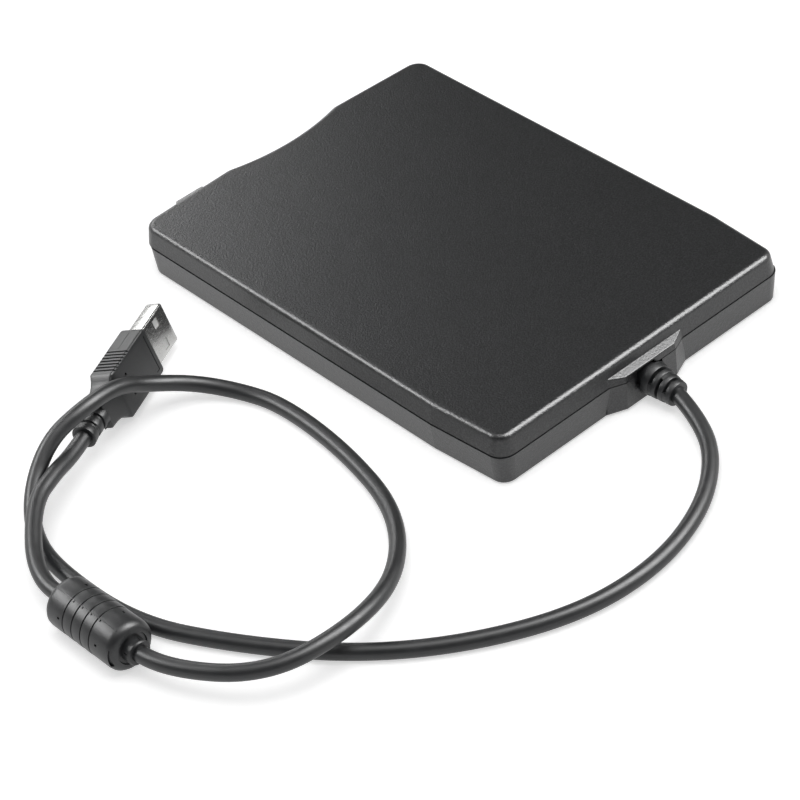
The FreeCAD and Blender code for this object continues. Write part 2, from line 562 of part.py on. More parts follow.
def drive_chassis():
    floor = block("FrameFloor", ("-frame_half", "frame_half"), ("-frame_front", "frame_rear"),
                  ("frame_low", "frame_low + sheet"))
    walls = []
    for low, high in (("-frame_half", "sheet - frame_half"), ("frame_half - sheet", "frame_half")):
        walls.append(block("HighWall", (low, high), ("-56", "frame_wall_rear"), ("frame_low", "frame_wall_top")))
        walls.append(block("LowWall", (low, high), ("frame_wall_rear", "frame_rear"),
                           ("frame_low", "frame_ledge")))
    rod_tabs = [block("RodTab", (f"{x} - 1.7", f"{x} + 1.7"), (low, high), ("frame_low", "6"))
                for x in ("-rod_x", "rod_x")
                for low, high in (("rod_front - 0.4", "rod_front + 0.4"), ("rod_rear - 0.4", "rod_rear + 0.4"))]
    spring_tabs = [block("SpringTab", (f"{x} - 1.6", f"{x} + 1.6"), ("-33.8", "-33.2"), ("frame_low", "5.9"))
                   for x in ("-43.5", "43.5")]
    tip_post = block("ScrewTipPost", ("screw_x - 1.8", "screw_x + 1.8"), ("11.8", "12.6"),
                     ("frame_low", "6.5"))
    pads = [rod("BoardPad", "z", "1.3", (x, y, "frame_low"), "pcb_low - frame_low")
            for x, y in board_spots()]
    whole = fuse("FrameWhole", floor, *walls, *rod_tabs, *spring_tabs, tip_post, *pads)
    bearing_hole = rod("BearingHole", "z", "bearing_radius + 0.02", ("0", "-hub_back", "0"), "4")
    motor_window = block("MotorWindow", ("screw_x - 4.4", "screw_x + 4.4"), ("50", "64.8"), ("1", "3"))
    windows = [block("FrameWindow", x, y, ("1", "3"))
               for x, y in ((("-42", "-27"), ("-30", "20")), (("27", "42"), ("-30", "20")),
                            (("-20", "20"), ("-56", "-44")), (("-8", "8"), ("30", "50")))]
    rod_bores = [rod("RodBore", "y", "rod_radius + 0.02", (x, "rod_front - 1", "rod_height"), "50")
                 for x in ("-rod_x", "rod_x")]
    tip_bore = rod("TipBore", "y", "0.5", ("screw_x", "11", "screw_z"), "3")
    peg_slots = [block("PegSlot", (low, high), (f"{y} - peg_radius - peg_gap", f"{y} + peg_radius + peg_gap"),
                       ("peg_height - peg_radius - peg_gap", "frame_wall_top - 0.7"))
                 for low, high in (("-frame_half - 1", "1 - frame_half"), ("frame_half - 1", "frame_half + 1"))
                 for y in ("-peg_front", "peg_rear")]
    screw_bores = [rod("FrameScrewBore", "z", "0.95", (x, y, "0"), "5") for x, y in frame_spots()]
    keep(cut("Chassis", whole, bearing_hole, motor_window, *windows, *rod_bores, tip_bore, *peg_slots,
             *screw_bores), "drive_chassis")


def board_spots():
    return [("-44", "48"), ("-44", "62"), ("-17", "62"), ("-24", "48"),
            ("26", "43"), ("44", "43"), ("26", "62"), ("44", "62")]


def chassis_screws():
    screws = []
    for x, y in frame_spots():
        head = rod("ScrewHead", "z", "1.8", (x, y, "frame_low + sheet"), "0.8")
        shank = rod("ScrewShank", "z", "0.85", (x, y, "0.9"), "frame_low + sheet - 0.9")
        cross = block("Cross", (f"{x} - 0.25", f"{x} + 0.25"), (f"{y} - 1", f"{y} + 1"), ("2.9", "4"))
        bar = block("Bar", (f"{x} - 1", f"{x} + 1"), (f"{y} - 0.25", f"{y} + 0.25"), ("2.9", "4"))
        screws.append(cut("FrameScrew", fuse("FrameScrewWhole", head, shank), cross, bar))
    keep(group("ChassisScrews", *screws), "chassis_screws")


# ---------------------------------------------------------------- eject parts

def eject_button():
    cap = block("ButtonCap", ("button_left", "button_right"), ("-button_reach", "-button_back"),
                ("button_low", "button_high"))
    smooth = soften("ButtonSoft", cap, "base_round",
                    lambda edge: edge.BoundBox.YMin < -size("button_reach") + 0.01)
    stem = block("ButtonStem", ("button_left + stem_inset", "button_right - stem_inset"),
                 ("-button_back", "-slider_front"), ("4.2", "6.6"))
    keep(fuse("EjectButton", smooth, stem), "eject_button")


def eject_slider():
    outer = "slider_inner + slider_sheet"
    rails = [block("Rail", (low, high), ("-slider_front", "slider_rear"), ("slider_low", "slider_top"))
             for low, high in (("slider_inner", outer), (f"-({outer})", "-slider_inner"))]
    bar = block("CrossBar", (f"-({outer})", outer), ("-slider_front", "cross_depth - slider_front"),
                ("slider_low", "slider_low + sheet"))
    riser = block("Riser", ("button_left + stem_inset", "button_right - stem_inset"),
                  ("-slider_front", "1 - slider_front"), ("slider_low", "6.9"))
    spring_tabs = [block("SliderTab", (low, high), ("-49.6", "-49"), ("3.3", "5.6"))
                   for low, high in (("42.2", "slider_inner + 0.1"), ("-slider_inner - 0.1", "-42.2"))]
    whole = fuse("SliderWhole", *rails, bar, riser, *spring_tabs)
    reach = "(peg_radius + peg_gap)"
    ramps = []
    for y in ("-peg_front", "peg_rear"):
        ramp = doc.addObject("PartDesign::Body", "Ramp")
        corners = [(f"{y} + {reach}", f"peg_height - {reach}"),
                   (f"{y} + {reach}", f"peg_height + {reach}"),
                   (f"{y} - eject_travel + {reach} * 0.6", f"peg_height + lift_travel + {reach} + 0.1"),
                   (f"{y} - eject_travel - {reach}", f"peg_height + lift_travel + {reach} + 0.1"),
                   (f"{y} - eject_travel - {reach}", f"peg_height + lift_travel - {reach}"),
                   (f"{y} - eject_travel - 0.16", f"peg_height + lift_travel - {reach}"),
                   (f"{y} - 0.16", f"peg_height - {reach}")]
        pad(ramp, profile(ramp, "YZ_Plane", corners, "-60"), "120")
        ramps.append(ramp)
    reliefs = [block("RailRelief", ("-60", "60"), (low, high), ("6.5", "13"))
               for low, high in (("-61", "-50"), ("-32", "8"))]
    keep(cut("EjectSlider", whole, *ramps, *reliefs), "eject_slider")


def slider_springs():
    springs = [coil("SliderSpring", 1.1, 0.2, 1.0, 14.6, (x, -48.7, 4.5), TURNS["y"])
               for x in (-43.5, 43.5)]
    keep(group("SliderSprings", *springs), "slider_springs")


def disk_holder():
    deck = block("Deck", ("-holder_half", "holder_half"), ("-holder_front", "holder_rear"),
                 ("holder_ceiling", "holder_ceiling + holder_sheet"))
    sides = []
    for low, high in (("-holder_half", "holder_sheet - holder_half"),
                      ("holder_half - holder_sheet", "holder_half")):
        sides.append(block("HolderSide", (low, high), ("-holder_front", "holder_rear"),
                           ("holder_low", "holder_ceiling")))
    for low, high in (("-holder_half", "-lip_reach"), ("lip_reach", "holder_half")):
        sides.append(block("HolderLip", (low, high), ("-holder_front", "holder_rear"),
                           ("holder_low", "holder_lip_top")))
    stops = [block("DiskStop", (low, high), ("holder_rear - holder_sheet", "holder_rear"),
                   ("holder_lip_top", "holder_ceiling + 0.1"))
             for low, high in (("-holder_half", "-41"), ("41", "holder_half"))]
    pegs = [rod("Peg", "x", "peg_radius", (x, y, "peg_height"), "frame_half + 0.1 - holder_half + 0.1")
            for x in ("holder_half - 0.1", "-frame_half - 0.1") for y in ("-peg_front", "peg_rear")]
    notch = block("HeadNotch", ("-head_notch", "head_notch"), ("notch_front", "holder_rear + 1"),
                  ("holder_ceiling - 1", "14"))
    slots = [block("DeckSlot", x, y, ("holder_ceiling - 1", "14"))
             for x, y in ((("-34", "-22"), ("-38", "-20")), (("22", "34"), ("-38", "-20")),
                          (("-38", "-24"), ("6", "24")), (("24", "38"), ("6", "24")))]
    crown = rod("HubWindow", "z", "9", ("0", "-hub_back", "holder_ceiling - 1"), "3")
    keep(cut("DiskHolder", fuse("HolderWhole", deck, *sides, *stops, *pegs), notch, crown, *slots),
         "disk_holder")


def latch_parts():
    foot = rod("PivotFoot", "z", "2.2", ("-pivot_x", "pivot_y", "frame_low + sheet"), "0.6")
    post = rod("PivotPost", "z", "1.2", ("-pivot_x", "pivot_y", "frame_low + sheet"),
               "lever_low - 0.1 - frame_low - sheet")
    tip = rod("PivotTip", "z", "0.8", ("-pivot_x", "pivot_y", "4"), "6")
    keep(fuse("LatchPivot", foot, post, tip), "latch_pivot")
    body = doc.addObject("PartDesign::Body", "Lever")
    plan = [("-pivot_x - 1.6", "pivot_y - 2.2"), ("-16", "35.1"), ("-11", "34.6"), ("-11", "37.4"),
            ("-18", "38.3"), ("-pivot_x + 3", "pivot_y + 1.6"), ("-pivot_x - 2", "pivot_y + 2.4")]
    pad(body, profile(body, "XY_Plane", plan, "lever_low"), "lever_thick")
    nose = rod("LeverNose", "z", "1.2", ("-12.4", "36", "lever_low - 0.9"), "lever_thick + 0.9")
    eye = rod("LeverEye", "z", "0.8 + run_gap", ("-pivot_x", "pivot_y", "8"), "3")
    keep(cut("LatchLever", fuse("LeverWhole", body, nose), eye), "latch_lever")
    spring = coil("LeverSpring", 1.7, 0.2, 0.55, 3.0,
                  (-size("pivot_x"), size("pivot_y"), 5.2), TURNS["z"])
    keep(spring, "latch_lever_spring")


# ---------------------------------------------------------------- spindle motor

def spindle_motor():
    axis = ("0", "-hub_back")
    plan = block("BoardPlan", ("-24", "24"), ("-36", "8.5"), ("frame_low + sheet", "board_top"))
    hole = rod("BoardHole", "z", "bearing_radius + 0.02", (*axis, "0"), "5")
    nicks = [rod("BoardNick", "z", "3", (x, "-36", "0"), "5") for x in ("-24", "24")]
    keep(cut("MotorBoard", plan, hole, *nicks), "motor_board")
    sleeve = rod("Sleeve", "z", "bearing_radius", (*axis, "frame_low + 0.05"), "bearing_top - frame_low - 0.05")
    flange = rod("Flange", "z", "5", (*axis, "board_top"), "0.6")
    bore = rod("SleeveBore", "z", "shaft_radius + 0.03", (*axis, "0"), "8")
    keep(cut("Bearing", fuse("BearingWhole", sleeve, flange), bore), "spindle_bearing")
    ring = rod("CoreRing", "z", "8.5", (*axis, "board_top"), "stator_top - board_top")
    teeth = []
    coils = []
    for index in range(9):
        turn = FreeCAD.Rotation(FreeCAD.Vector(0, 0, 1), 40 * index)
        spot = FreeCAD.Vector(0, -size("hub_back"), 0)
        tooth = shaped("Tooth", tooth_shape())
        tooth.Placement = FreeCAD.Placement(spot, turn)
        teeth.append(tooth)
        winding = shaped("Winding", coil_shape())
        winding.Placement = FreeCAD.Placement(spot, turn)
        coils.append(winding)
    eye = rod("CoreEye", "z", "5.2", (*axis, "0"), "8")
    keep(cut("StatorCore", fuse("CoreWhole", ring, *teeth), eye), "stator_core")
    keep(group("StatorCoils", *coils), "stator_coils")
    rim = rod("RotorRim", "z", "rotor_radius", (*axis, "rotor_low"), "rotor_top - rotor_low")
    inside = rod("RotorInside", "z", "rotor_radius - 0.8", (*axis, "rotor_low - 1"),
                 "rotor_top - rotor_sheet - rotor_low + 1")
    centre = rod("RotorEye", "z", "shaft_radius", (*axis, "0"), "9")
    lights = [rod("RotorWindow", "z", "2", (f"13.5*cos({60 * k})", f"13.5*sin({60 * k}) - hub_back", "0"), "9")
              for k in range(6)]
    keep(cut("Rotor", rim, inside, centre, *lights), "spindle_rotor")
    magnet = rod("MagnetOuter", "z", "magnet_outer", (*axis, "rotor_low + 0.1"), "1.8")
    magnet_eye = rod("MagnetEye", "z", "magnet_inner", (*axis, "0"), "9")
    keep(cut("Magnet", magnet, magnet_eye), "rotor_magnet")
    plate = rod("HubPlate", "z", "hub_radius", (*axis, "rotor_top"), "hub_top - rotor_top")
    dog = rod("DriveDog", "z", "dog_radius", ("dog_orbit", "-hub_back", "rotor_top"), "7.5 - rotor_top")
    hub_eye = rod("HubEye", "z", "shaft_radius", (*axis, "0"), "9")
    keep(cut("Hub", fuse("HubWhole", plate, dog), hub_eye), "spindle_hub")
    shaft = rod("Shaft", "z", "shaft_radius", (*axis, "frame_low + 0.15"), "shaft_top - frame_low - 0.15")
    keep(soften("ShaftTip", shaft, 0.3, lambda edge: lies_at(edge, size("shaft_top"))), "spindle_shaft")


def tooth_shape():
    """One stator tooth along +X with a curved shoe at its end."""
    low, high, reach = size("board_top"), size("stator_top"), size("tooth_reach")
    bar = Part.makeBox(reach - 8.5, 2.0, high - low, FreeCAD.Vector(7.8, -1.0, low))
    shoe = Part.makeCylinder(reach, high - low, FreeCAD.Vector(0, 0, low), FreeCAD.Vector(0, 0, 1), 28)
    shoe.rotate(FreeCAD.Vector(), FreeCAD.Vector(0, 0, 1), -14)
    shoe = shoe.cut(Part.makeCylinder(reach - 1.0, 9))
    return bar.fuse(shoe)


def coil_shape():
    """The winding round one tooth: a block with rounded ends and a hole for the tooth."""
    top = size("coil_top")
    low = size("board_top") + 0.05
    outer = Part.makeBox(5.0, 4.0, top - low, FreeCAD.Vector(9.6, -2.0, low))
    outer = outer.makeFillet(0.6, [edge for edge in outer.Edges if edge.BoundBox.XLength > 4])
    return outer.cut(Part.makeBox(7, 2.05, size("stator_top") + 0.03 - 2, FreeCAD.Vector(9, -1.025, 2)))


# ---------------------------------------------------------------- heads

def guide_rods():
    rods = [rod("GuideRod", "y", "rod_radius", (x, "rod_front - 0.2", "rod_height"),
                "rod_rear - rod_front + 0.4") for x in ("-rod_x", "rod_x")]
    keep(group("GuideRods", *rods), "guide_rods")


def head_carriage():
    sled = block("Sled", ("-sled_half", "sled_half"), ("sled_front", "sled_rear"), ("sled_low", "sled_top"))
    nose = block("Nose", ("-5.4", "5.4"), ("sled_front - 2.2", "sled_front + 1"), ("sled_low + 1", "sled_top"))
    tower = block("Tower", ("-tower_half", "tower_half"), ("tower_front", "tower_rear"),
                  ("sled_top - 1", "tower_top"))
    flag = block("TrackFlag", ("-18", "-sled_half + 1"), ("40", "41"), ("4.4", "5"))
    bores = [rod("SledBore", "y", "rod_radius + run_gap", (x, "sled_front - 2", "rod_height"), "30")
             for x in ("-rod_x", "rod_x")]
    dish = block("SledDish", ("-4.5", "4.5"), ("33", "46"), ("sled_top - 1.4", "sled_top + 1"))
    waist = [block("SledWaist", (low, high), ("34", "46"), ("sled_low - 1", "sled_top + 1"))
             for low, high in (("-sled_half - 1", "-sled_half + 2"),)]
    pin_bore = rod("PinBore", "x", "arm_pin_radius", ("-tower_half - 1", "arm_hinge_y", "arm_hinge_z"),
                   "2*tower_half + 2")
    flag_arm = block("FlagArm", ("-sled_half - 0.1", "-sled_half + 2.1"), ("39.4", "41.6"), ("4.2", "5.2"))
    trimmed = cut("SledTrimmed", fuse("SledWhole", sled, nose, tower), *bores, dish, *waist, pin_bore)
    flagged = fuse("SledFlagged", trimmed, flag, flag_arm)
    keep(cut("HeadCarriage", flagged, rod("FlagBore", "y", "rod_radius + run_gap",
                                          ("-rod_x", "38", "rod_height"), "5")), "head_carriage")
    pin = rod("ArmPin", "x", "arm_pin_radius", ("-tower_half - 1.1", "arm_hinge_y", "arm_hinge_z"),
              "2*tower_half + 2.2")
    keep(pin, "arm_pivot_pin")
    nut = block("Nut", ("sled_half", "screw_x + 1.7"), ("38", "43"), ("4.2", "6.6"))
    nut_bore = rod("NutBore", "y", "lead_radius + 0.08", ("screw_x", "37", "screw_z"), "7")
    keep(cut("Follower", nut, nut_bore), "screw_follower")
    seat = block("HeadSeat", ("-2.4", "2.4"), ("head_y - 2.4", "head_y + 2.4"), ("sled_top", "sled_top + 0.6"))
    post = block("HeadPost", ("-1.7", "1.7"), ("head_y - 1.9", "head_y + 1.9"),
                 ("sled_top", "lower_head_top"))
    rounded = soften("HeadPostSoft", post, 0.35, lambda edge: lies_at(edge, size("lower_head_top")))
    keep(fuse("LowerHead", seat, rounded), "lower_head")


def upper_head_arm():
    body = doc.addObject("PartDesign::Body", "Arm")
    side = [("arm_hinge_y + 1", "11.6"), ("arm_hinge_y + 1", "12.1"), ("arm_hinge_y - 2", "12.1"),
            ("arm_hinge_y - 6", "11.5"), ("head_y + 2.2", "10.65"), ("head_y + 1.2", "9.85"),
            ("head_y - 3", "9.85"), ("head_y - 3", "9.35"), ("head_y + 1.5", "9.35"),
            ("head_y + 2.6", "10.15"), ("arm_hinge_y - 6", "11"), ("arm_hinge_y - 2", "11.6")]
    pad(body, profile(body, "YZ_Plane", side, "-arm_half"), "2*arm_half")
    yoke = block("Yoke", ("-tower_half - 1", "tower_half + 1"), ("arm_hinge_y - 1", "arm_hinge_y + 1"),
                 ("11.6", "12.1"))
    ears = [block("ArmEar", (low, high), ("arm_hinge_y - 1.2", "arm_hinge_y + 1.2"), ("9.6", "12.1"))
            for low, high in (("-tower_half - 0.9", "-tower_half - 0.3"), ("tower_half + 0.3", "tower_half + 0.9"))]
    eye = rod("ArmEye", "x", "arm_pin_radius + run_gap", ("-9", "arm_hinge_y", "arm_hinge_z"), "18")
    keep(cut("UpperArm", fuse("ArmWhole", body, yoke, *ears), eye), "upper_head_arm")
    slider = block("UpperSlider", ("-1.7", "1.7"), ("head_y - 1.9", "head_y + 1.9"),
                   ("upper_head_low", "9.15"))
    gimbal = block("Gimbal", ("-2.4", "2.4"), ("head_y - 2.6", "head_y + 1.4"), ("9.1", "9.35"))
    keep(fuse("UpperHead", slider, gimbal), "upper_head")


def stepper():
    can = rod("Can", "y", "step_radius", ("screw_x", "step_front", "screw_z"), "step_rear - step_front")
    groove = [("step_front + 1.5"), ("step_rear - 2.1")]
    rings = []
    for start in groove:
        outer = rod("GrooveOuter", "y", "step_radius + 1", ("screw_x", start, "screw_z"), "0.6")
        inner = rod("GrooveInner", "y", "step_radius - 0.25", ("screw_x", start, "screw_z"), "0.6")
        rings.append(cut("CanGroove", outer, inner))
    cap = rod("CanCap", "y", "1.6", ("screw_x", "step_rear", "screw_z"), "0.6")
    bore = rod("CanBore", "y", "0.55", ("screw_x", "step_front - 1", "screw_z"), "5")
    tail = block("TailBlock", ("screw_x - 3", "screw_x + 3"), ("step_rear - 5", "step_rear - 1"),
                 ("screw_z + 3", "screw_z + 4.2"))
    keep(cut("Stepper", fuse("StepperWhole", can, cap, tail), *rings, bore), "stepper_motor")
    plate = block("BracketPlate", ("screw_x - 3.5", "screw_x + 5.2"), ("step_front - 0.6", "step_front"),
                  ("frame_low + sheet", "screw_z + 4.2"))
    foot = block("BracketFoot", ("screw_x - 3.5", "screw_x + 5.2"), ("step_front - 3.2", "step_front"),
                 ("frame_low + sheet", "frame_low + 2*sheet"))
    eye = rod("BracketEye", "y", "lead_radius + 0.3", ("screw_x", "step_front - 2", "screw_z"), "4")
    keep(cut("Bracket", fuse("BracketWhole", plate, foot), eye), "stepper_bracket")
    thread = rod("Thread", "y", "lead_radius", ("screw_x", "lead_front", "screw_z"),
                 "step_front - 0.8 - lead_front")
    tip = rod("ScrewTip", "y", "0.45", ("screw_x", "11.9", "screw_z"), "2")
    tail_end = rod("ScrewTail", "y", "0.5", ("screw_x", "step_front - 1", "screw_z"), "4")
    keep(fuse("LeadScrew", thread, tip, tail_end), "lead_screw")


def electronics():
    low, high = "pcb_low", "pcb_low + pcb_thick"
    board = block("MainPlate", ("-46.4", "-14.6"), ("45.6", "64.6"), (low, high))
    keep(board, "main_board")
    parts = [block("DriveChip", ("-40", "-31"), ("50", "59"), (high, high + " + 1.2")),
             block("LogicChip", ("-28", "-23.4"), ("54", "60.4"), (high, high + " + 1.4")),
             block("CrystalCan", ("-44", "-41.6"), ("58", "63"), (high, high + " + 1.6"))]
    parts += [block("SmallPart", (f"{-38.5 + 2.2 * k}", f"{-37.3 + 2.2 * k}"), ("61.2", "63.2"),
                    (high, high + " + 0.7")) for k in range(6)]
    keep(group("BoardChips", *parts), "board_chips")
    second = block("InterfacePlate", ("23.6", "46.2"), ("40.6", "64.6"), (low, high))
    keep(second, "interface_board")
    chips = [block("BridgeChip", ("29", "38"), ("46", "55"), (high, high + " + 1.2")),
             block("MemoryChip", ("40.4", "44.6"), ("46", "51.2"), (high, high + " + 1")),
             rod("Capacitor", "z", "1.9", ("42.4", "58", high), "3.2")]
    chips += [block("BridgePart", (f"{28.5 + 2.2 * k}", f"{29.7 + 2.2 * k}"), ("42.2", "44"),
                    (high, high + " + 0.7")) for k in range(6)]
    keep(group("InterfaceChips", *chips), "interface_chips")
    socket = block("SocketShell", ("24.2", "28"), ("57", "63.4"), (high, high + " + 2.6"))
    mouth = block("SocketMouth", ("24.6", "27.6"), ("61.6", "64"), (high + " + 0.5", high + " + 2.1"))
    keep(cut("CordSocket", socket, mouth), "cord_socket")
    plug = block("FlexShell", ("-20", "-16.2"), ("46.4", "54.4"), (high, high + " + 1.6"))
    keep(plug, "flex_connector")
    film = [block("FilmFoot", ("-16.2", "-15.2"), ("47.4", "53.4"), ("4.6", "4.75")),
            block("FilmRise", ("-15.35", "-15.2"), ("47.4", "53.4"), ("4.6", "7.2")),
            block("FilmRun", ("-15.35", "-8.2"), ("47.4", "51.6"), ("7.05", "7.2")),
            block("FilmDrop", ("-8.35", "-8.2"), ("47.4", "51.6"), ("sled_top", "7.2"))]
    keep(fuse("HeadFlex", *film), "head_flex_cable")
    sensor = block("SensorBlock", ("-22", "-14.6"), ("37.4", "43.6"), ("frame_low + sheet", "6.2"))
    gap = block("SensorGap", ("-19.4", "-14"), ("37", "44"), ("3.9", "5.5"))
    keep(cut("TrackSensor", sensor, gap), "track_zero_sensor")
    box = block("SwitchBox", ("-41", "-29"), ("-46.4", "-42.4"), ("frame_low + sheet", "5.4"))
    wells = [rod("SwitchWell", "z", "0.65", (x, "-44.4", "3.4"), "4") for x in plunger_places()]
    keep(cut("SwitchBlock", box, *wells), "switch_block")
    for label, x in zip(("write_protect_plunger", "density_plunger", "disk_in_plunger"), plunger_places()):
        pin = rod("Plunger", "z", "0.55", (x, "-44.4", "4.4"), "3.1")
        keep(soften("PlungerTip", pin, 0.25, lambda edge: lies_at(edge, 7.5)), label)


def plunger_places():
    return ("-39", "-35", "-31")


# ---------------------------------------------------------------- cord and what is on it

def cord_boot():
    """Moulded strain relief: flange inside the wall, neck in the opening, ringed sleeve outside."""
    flange = block("BootFlange", ("-5.2", "5.2"), ("69.9", "71.15"), ("3", "9.6"))
    neck = rod("BootNeck", "y", "3.85", ("0", "69.9", "cord_height + 0.2"), "6")
    sleeve = cone("BootSleeve", "y", "boot_radius", "boot_tip", ("0", "boss_reach + 0.05", "cord_height"),
                  "boot_end - boss_reach - 0.05")
    whole = fuse("BootWhole", flange, neck, sleeve)
    slits = []
    for index, start in enumerate(("76.6", "78.9", "81.2")):
        turned = index % 2 == 0
        for side in (-1, 1):
            reach = ("-6", "6") if turned else tuple(sorted((f"{side * 1.6}", f"{side * 6}"), key=float))
            low, high = sorted((side * 1.7, side * 6))
            rise = (f"cord_height + {low}", f"cord_height + {high}") if turned else ("0", "12")
            slits.append(block("BootSlit", reach, (start, f"{start} + 0.9"), rise))
    core = rod("BootCore", "y", "cord_radius + 0.3", ("0", "69.9", "cord_height"), "boot_end - 69.9")
    keep(fuse("CordBoot", cut("BootCut", whole, *slits), core), "cord_boot")
    path = [FreeCAD.Vector(*point) for point in
            ((0, 69.9, 5.8), (0, 68.4, 5.8), (4.5, 66.8, 5.5), (21.5, 67.0, 5.1), (26.1, 66.4, 5.0),
             (26.1, 63.5, 5.0))]
    keep(shaped("InnerLead", tube(path, 1.1, 0.45)), "inner_lead")


def tube(points, radius, share):
    """A tube along straight runs joined by tangent arcs as large as the runs allow."""
    pieces = []
    last = points[0]
    for before, corner, after in zip(points, points[1:], points[2:]):
        back = before - corner
        ahead = after - corner
        trim = share * min(back.Length, ahead.Length)
        back.normalize()
        ahead.normalize()
        start = corner + back * trim
        finish = corner + ahead * trim
        half_turn = (math.pi - back.getAngle(ahead)) / 2
        bend = trim / math.tan(half_turn)
        inward = (back + ahead).normalize()
        middle = corner + inward * (bend / math.cos(half_turn) - bend)
        pieces.append(Part.LineSegment(last, start).toShape())
        pieces.append(Part.Arc(start, middle, finish).toShape())
        last = finish
    pieces.append(Part.LineSegment(last, points[-1]).toShape())
    spine = Part.Wire(pieces)
    aim = points[1] - points[0]
    ring = Part.Wire(Part.makeCircle(radius, points[0], aim))
    return spine.makePipeShell([ring], True, False)


def plug_frame(along, across, up):
    """A point of the plug's own frame, x towards the tip, in the drive's frame."""
    return plug_placement().multVec(FreeCAD.Vector(along, across, up))


def plug_placement():
    spot = FreeCAD.Vector(size("plug_x"), -size("plug_y"), size("plug_z"))
    return FreeCAD.Placement(spot, FreeCAD.Rotation(size("plug_heading"), 0, -size("plug_lean")))


def cable():
    route = [FreeCAD.Vector(*point) for point in CORD_ROUTE]
    route.append(plug_frame(-size("plug_relief"), 0, 0))
    radius = size("cord_radius")
    cord = shaped("Cord", tube(route, radius, 0.45))
    keep(cord, "cable")
    report_cord(route, radius, cord.Shape)


def report_cord(route, radius, solid):
    """Print each arc's radius and compare the tube's volume with its section times its length."""
    length = 0.0
    runs = [(after - before).Length for before, after in zip(route, route[1:])]
    cut_back = [0.0]
    for index in range(1, len(route) - 1):
        back = route[index - 1] - route[index]
        ahead = route[index + 1] - route[index]
        half_turn = (math.pi - back.getAngle(ahead)) / 2
        trim = 0.45 * min(runs[index - 1], runs[index])
        bend = trim / math.tan(half_turn)
        length += 2 * half_turn * bend
        cut_back.append(trim)
        print(f"cord point {index}: run {runs[index - 1]:.1f} turn {math.degrees(2 * half_turn):.0f} "
              f"radius {bend:.1f}")
    cut_back.append(0.0)
    length += sum(run - cut_back[i] - cut_back[i + 1] for i, run in enumerate(runs))
    ideal = math.pi * radius ** 2 * length
    print(f"cord length {length:.1f} volume {solid.Volume:.1f} section times length {ideal:.1f}")


def ferrite():
    spot = FreeCAD.Vector(size("ferrite_x"), size("ferrite_y"), size("ferrite_radius"))
    place = FreeCAD.Placement(spot, FreeCAD.Rotation(FreeCAD.Vector(0, 0, 1), size("ferrite_turn")))
    barrel = rod("FerriteBarrel", "y", "ferrite_radius", ("0", "-ferrite_half", "0"), "2*ferrite_half")
    smooth = soften("FerriteSoft", barrel, 1.8, lambda edge: edge.BoundBox.YLength < 0.01)
    collars = [rod("FerriteCollar", "y", "ferrite_collar", ("0", start, "0"), "collar_length + 1")
               for start in ("-ferrite_half - collar_length", "ferrite_half - 1")]
    grooves = []
    for start in (-5.8, -2.5, 0.8, 4.1):
        outer = rod("BandOuter", "y", "ferrite_radius + 1", ("0", f"{start}", "0"), "0.3")
        inner = rod("BandInner", "y", "ferrite_radius - 0.3", ("0", f"{start}", "0"), "0.3")
        grooves.append(cut("BandGroove", outer, inner))
    bore = rod("FerriteBore", "y", "bore_radius", ("0", "-ferrite_half - 5", "0"), "2*ferrite_half + 10")
    chamber = rod("FerriteChamber", "y", "core_radius + 0.05", ("0", "-core_half - 0.05", "0"), "2*core_half + 0.1")
    housing = cut("FerriteHousing", fuse("FerriteWhole", smooth, *collars), *grooves, bore, chamber)
    housing.Placement = place
    keep(housing, "ferrite_housing")
    core = rod("CoreBar", "y", "core_radius", ("0", "-core_half", "0"), "2*core_half")
    core_bore = rod("CoreBore", "y", "bore_radius", ("0", "-core_half - 1", "0"), "2*core_half + 2")
    ring = cut("FerriteCore", core, core_bore)
    ring.Placement = place
    keep(ring, "ferrite_core")


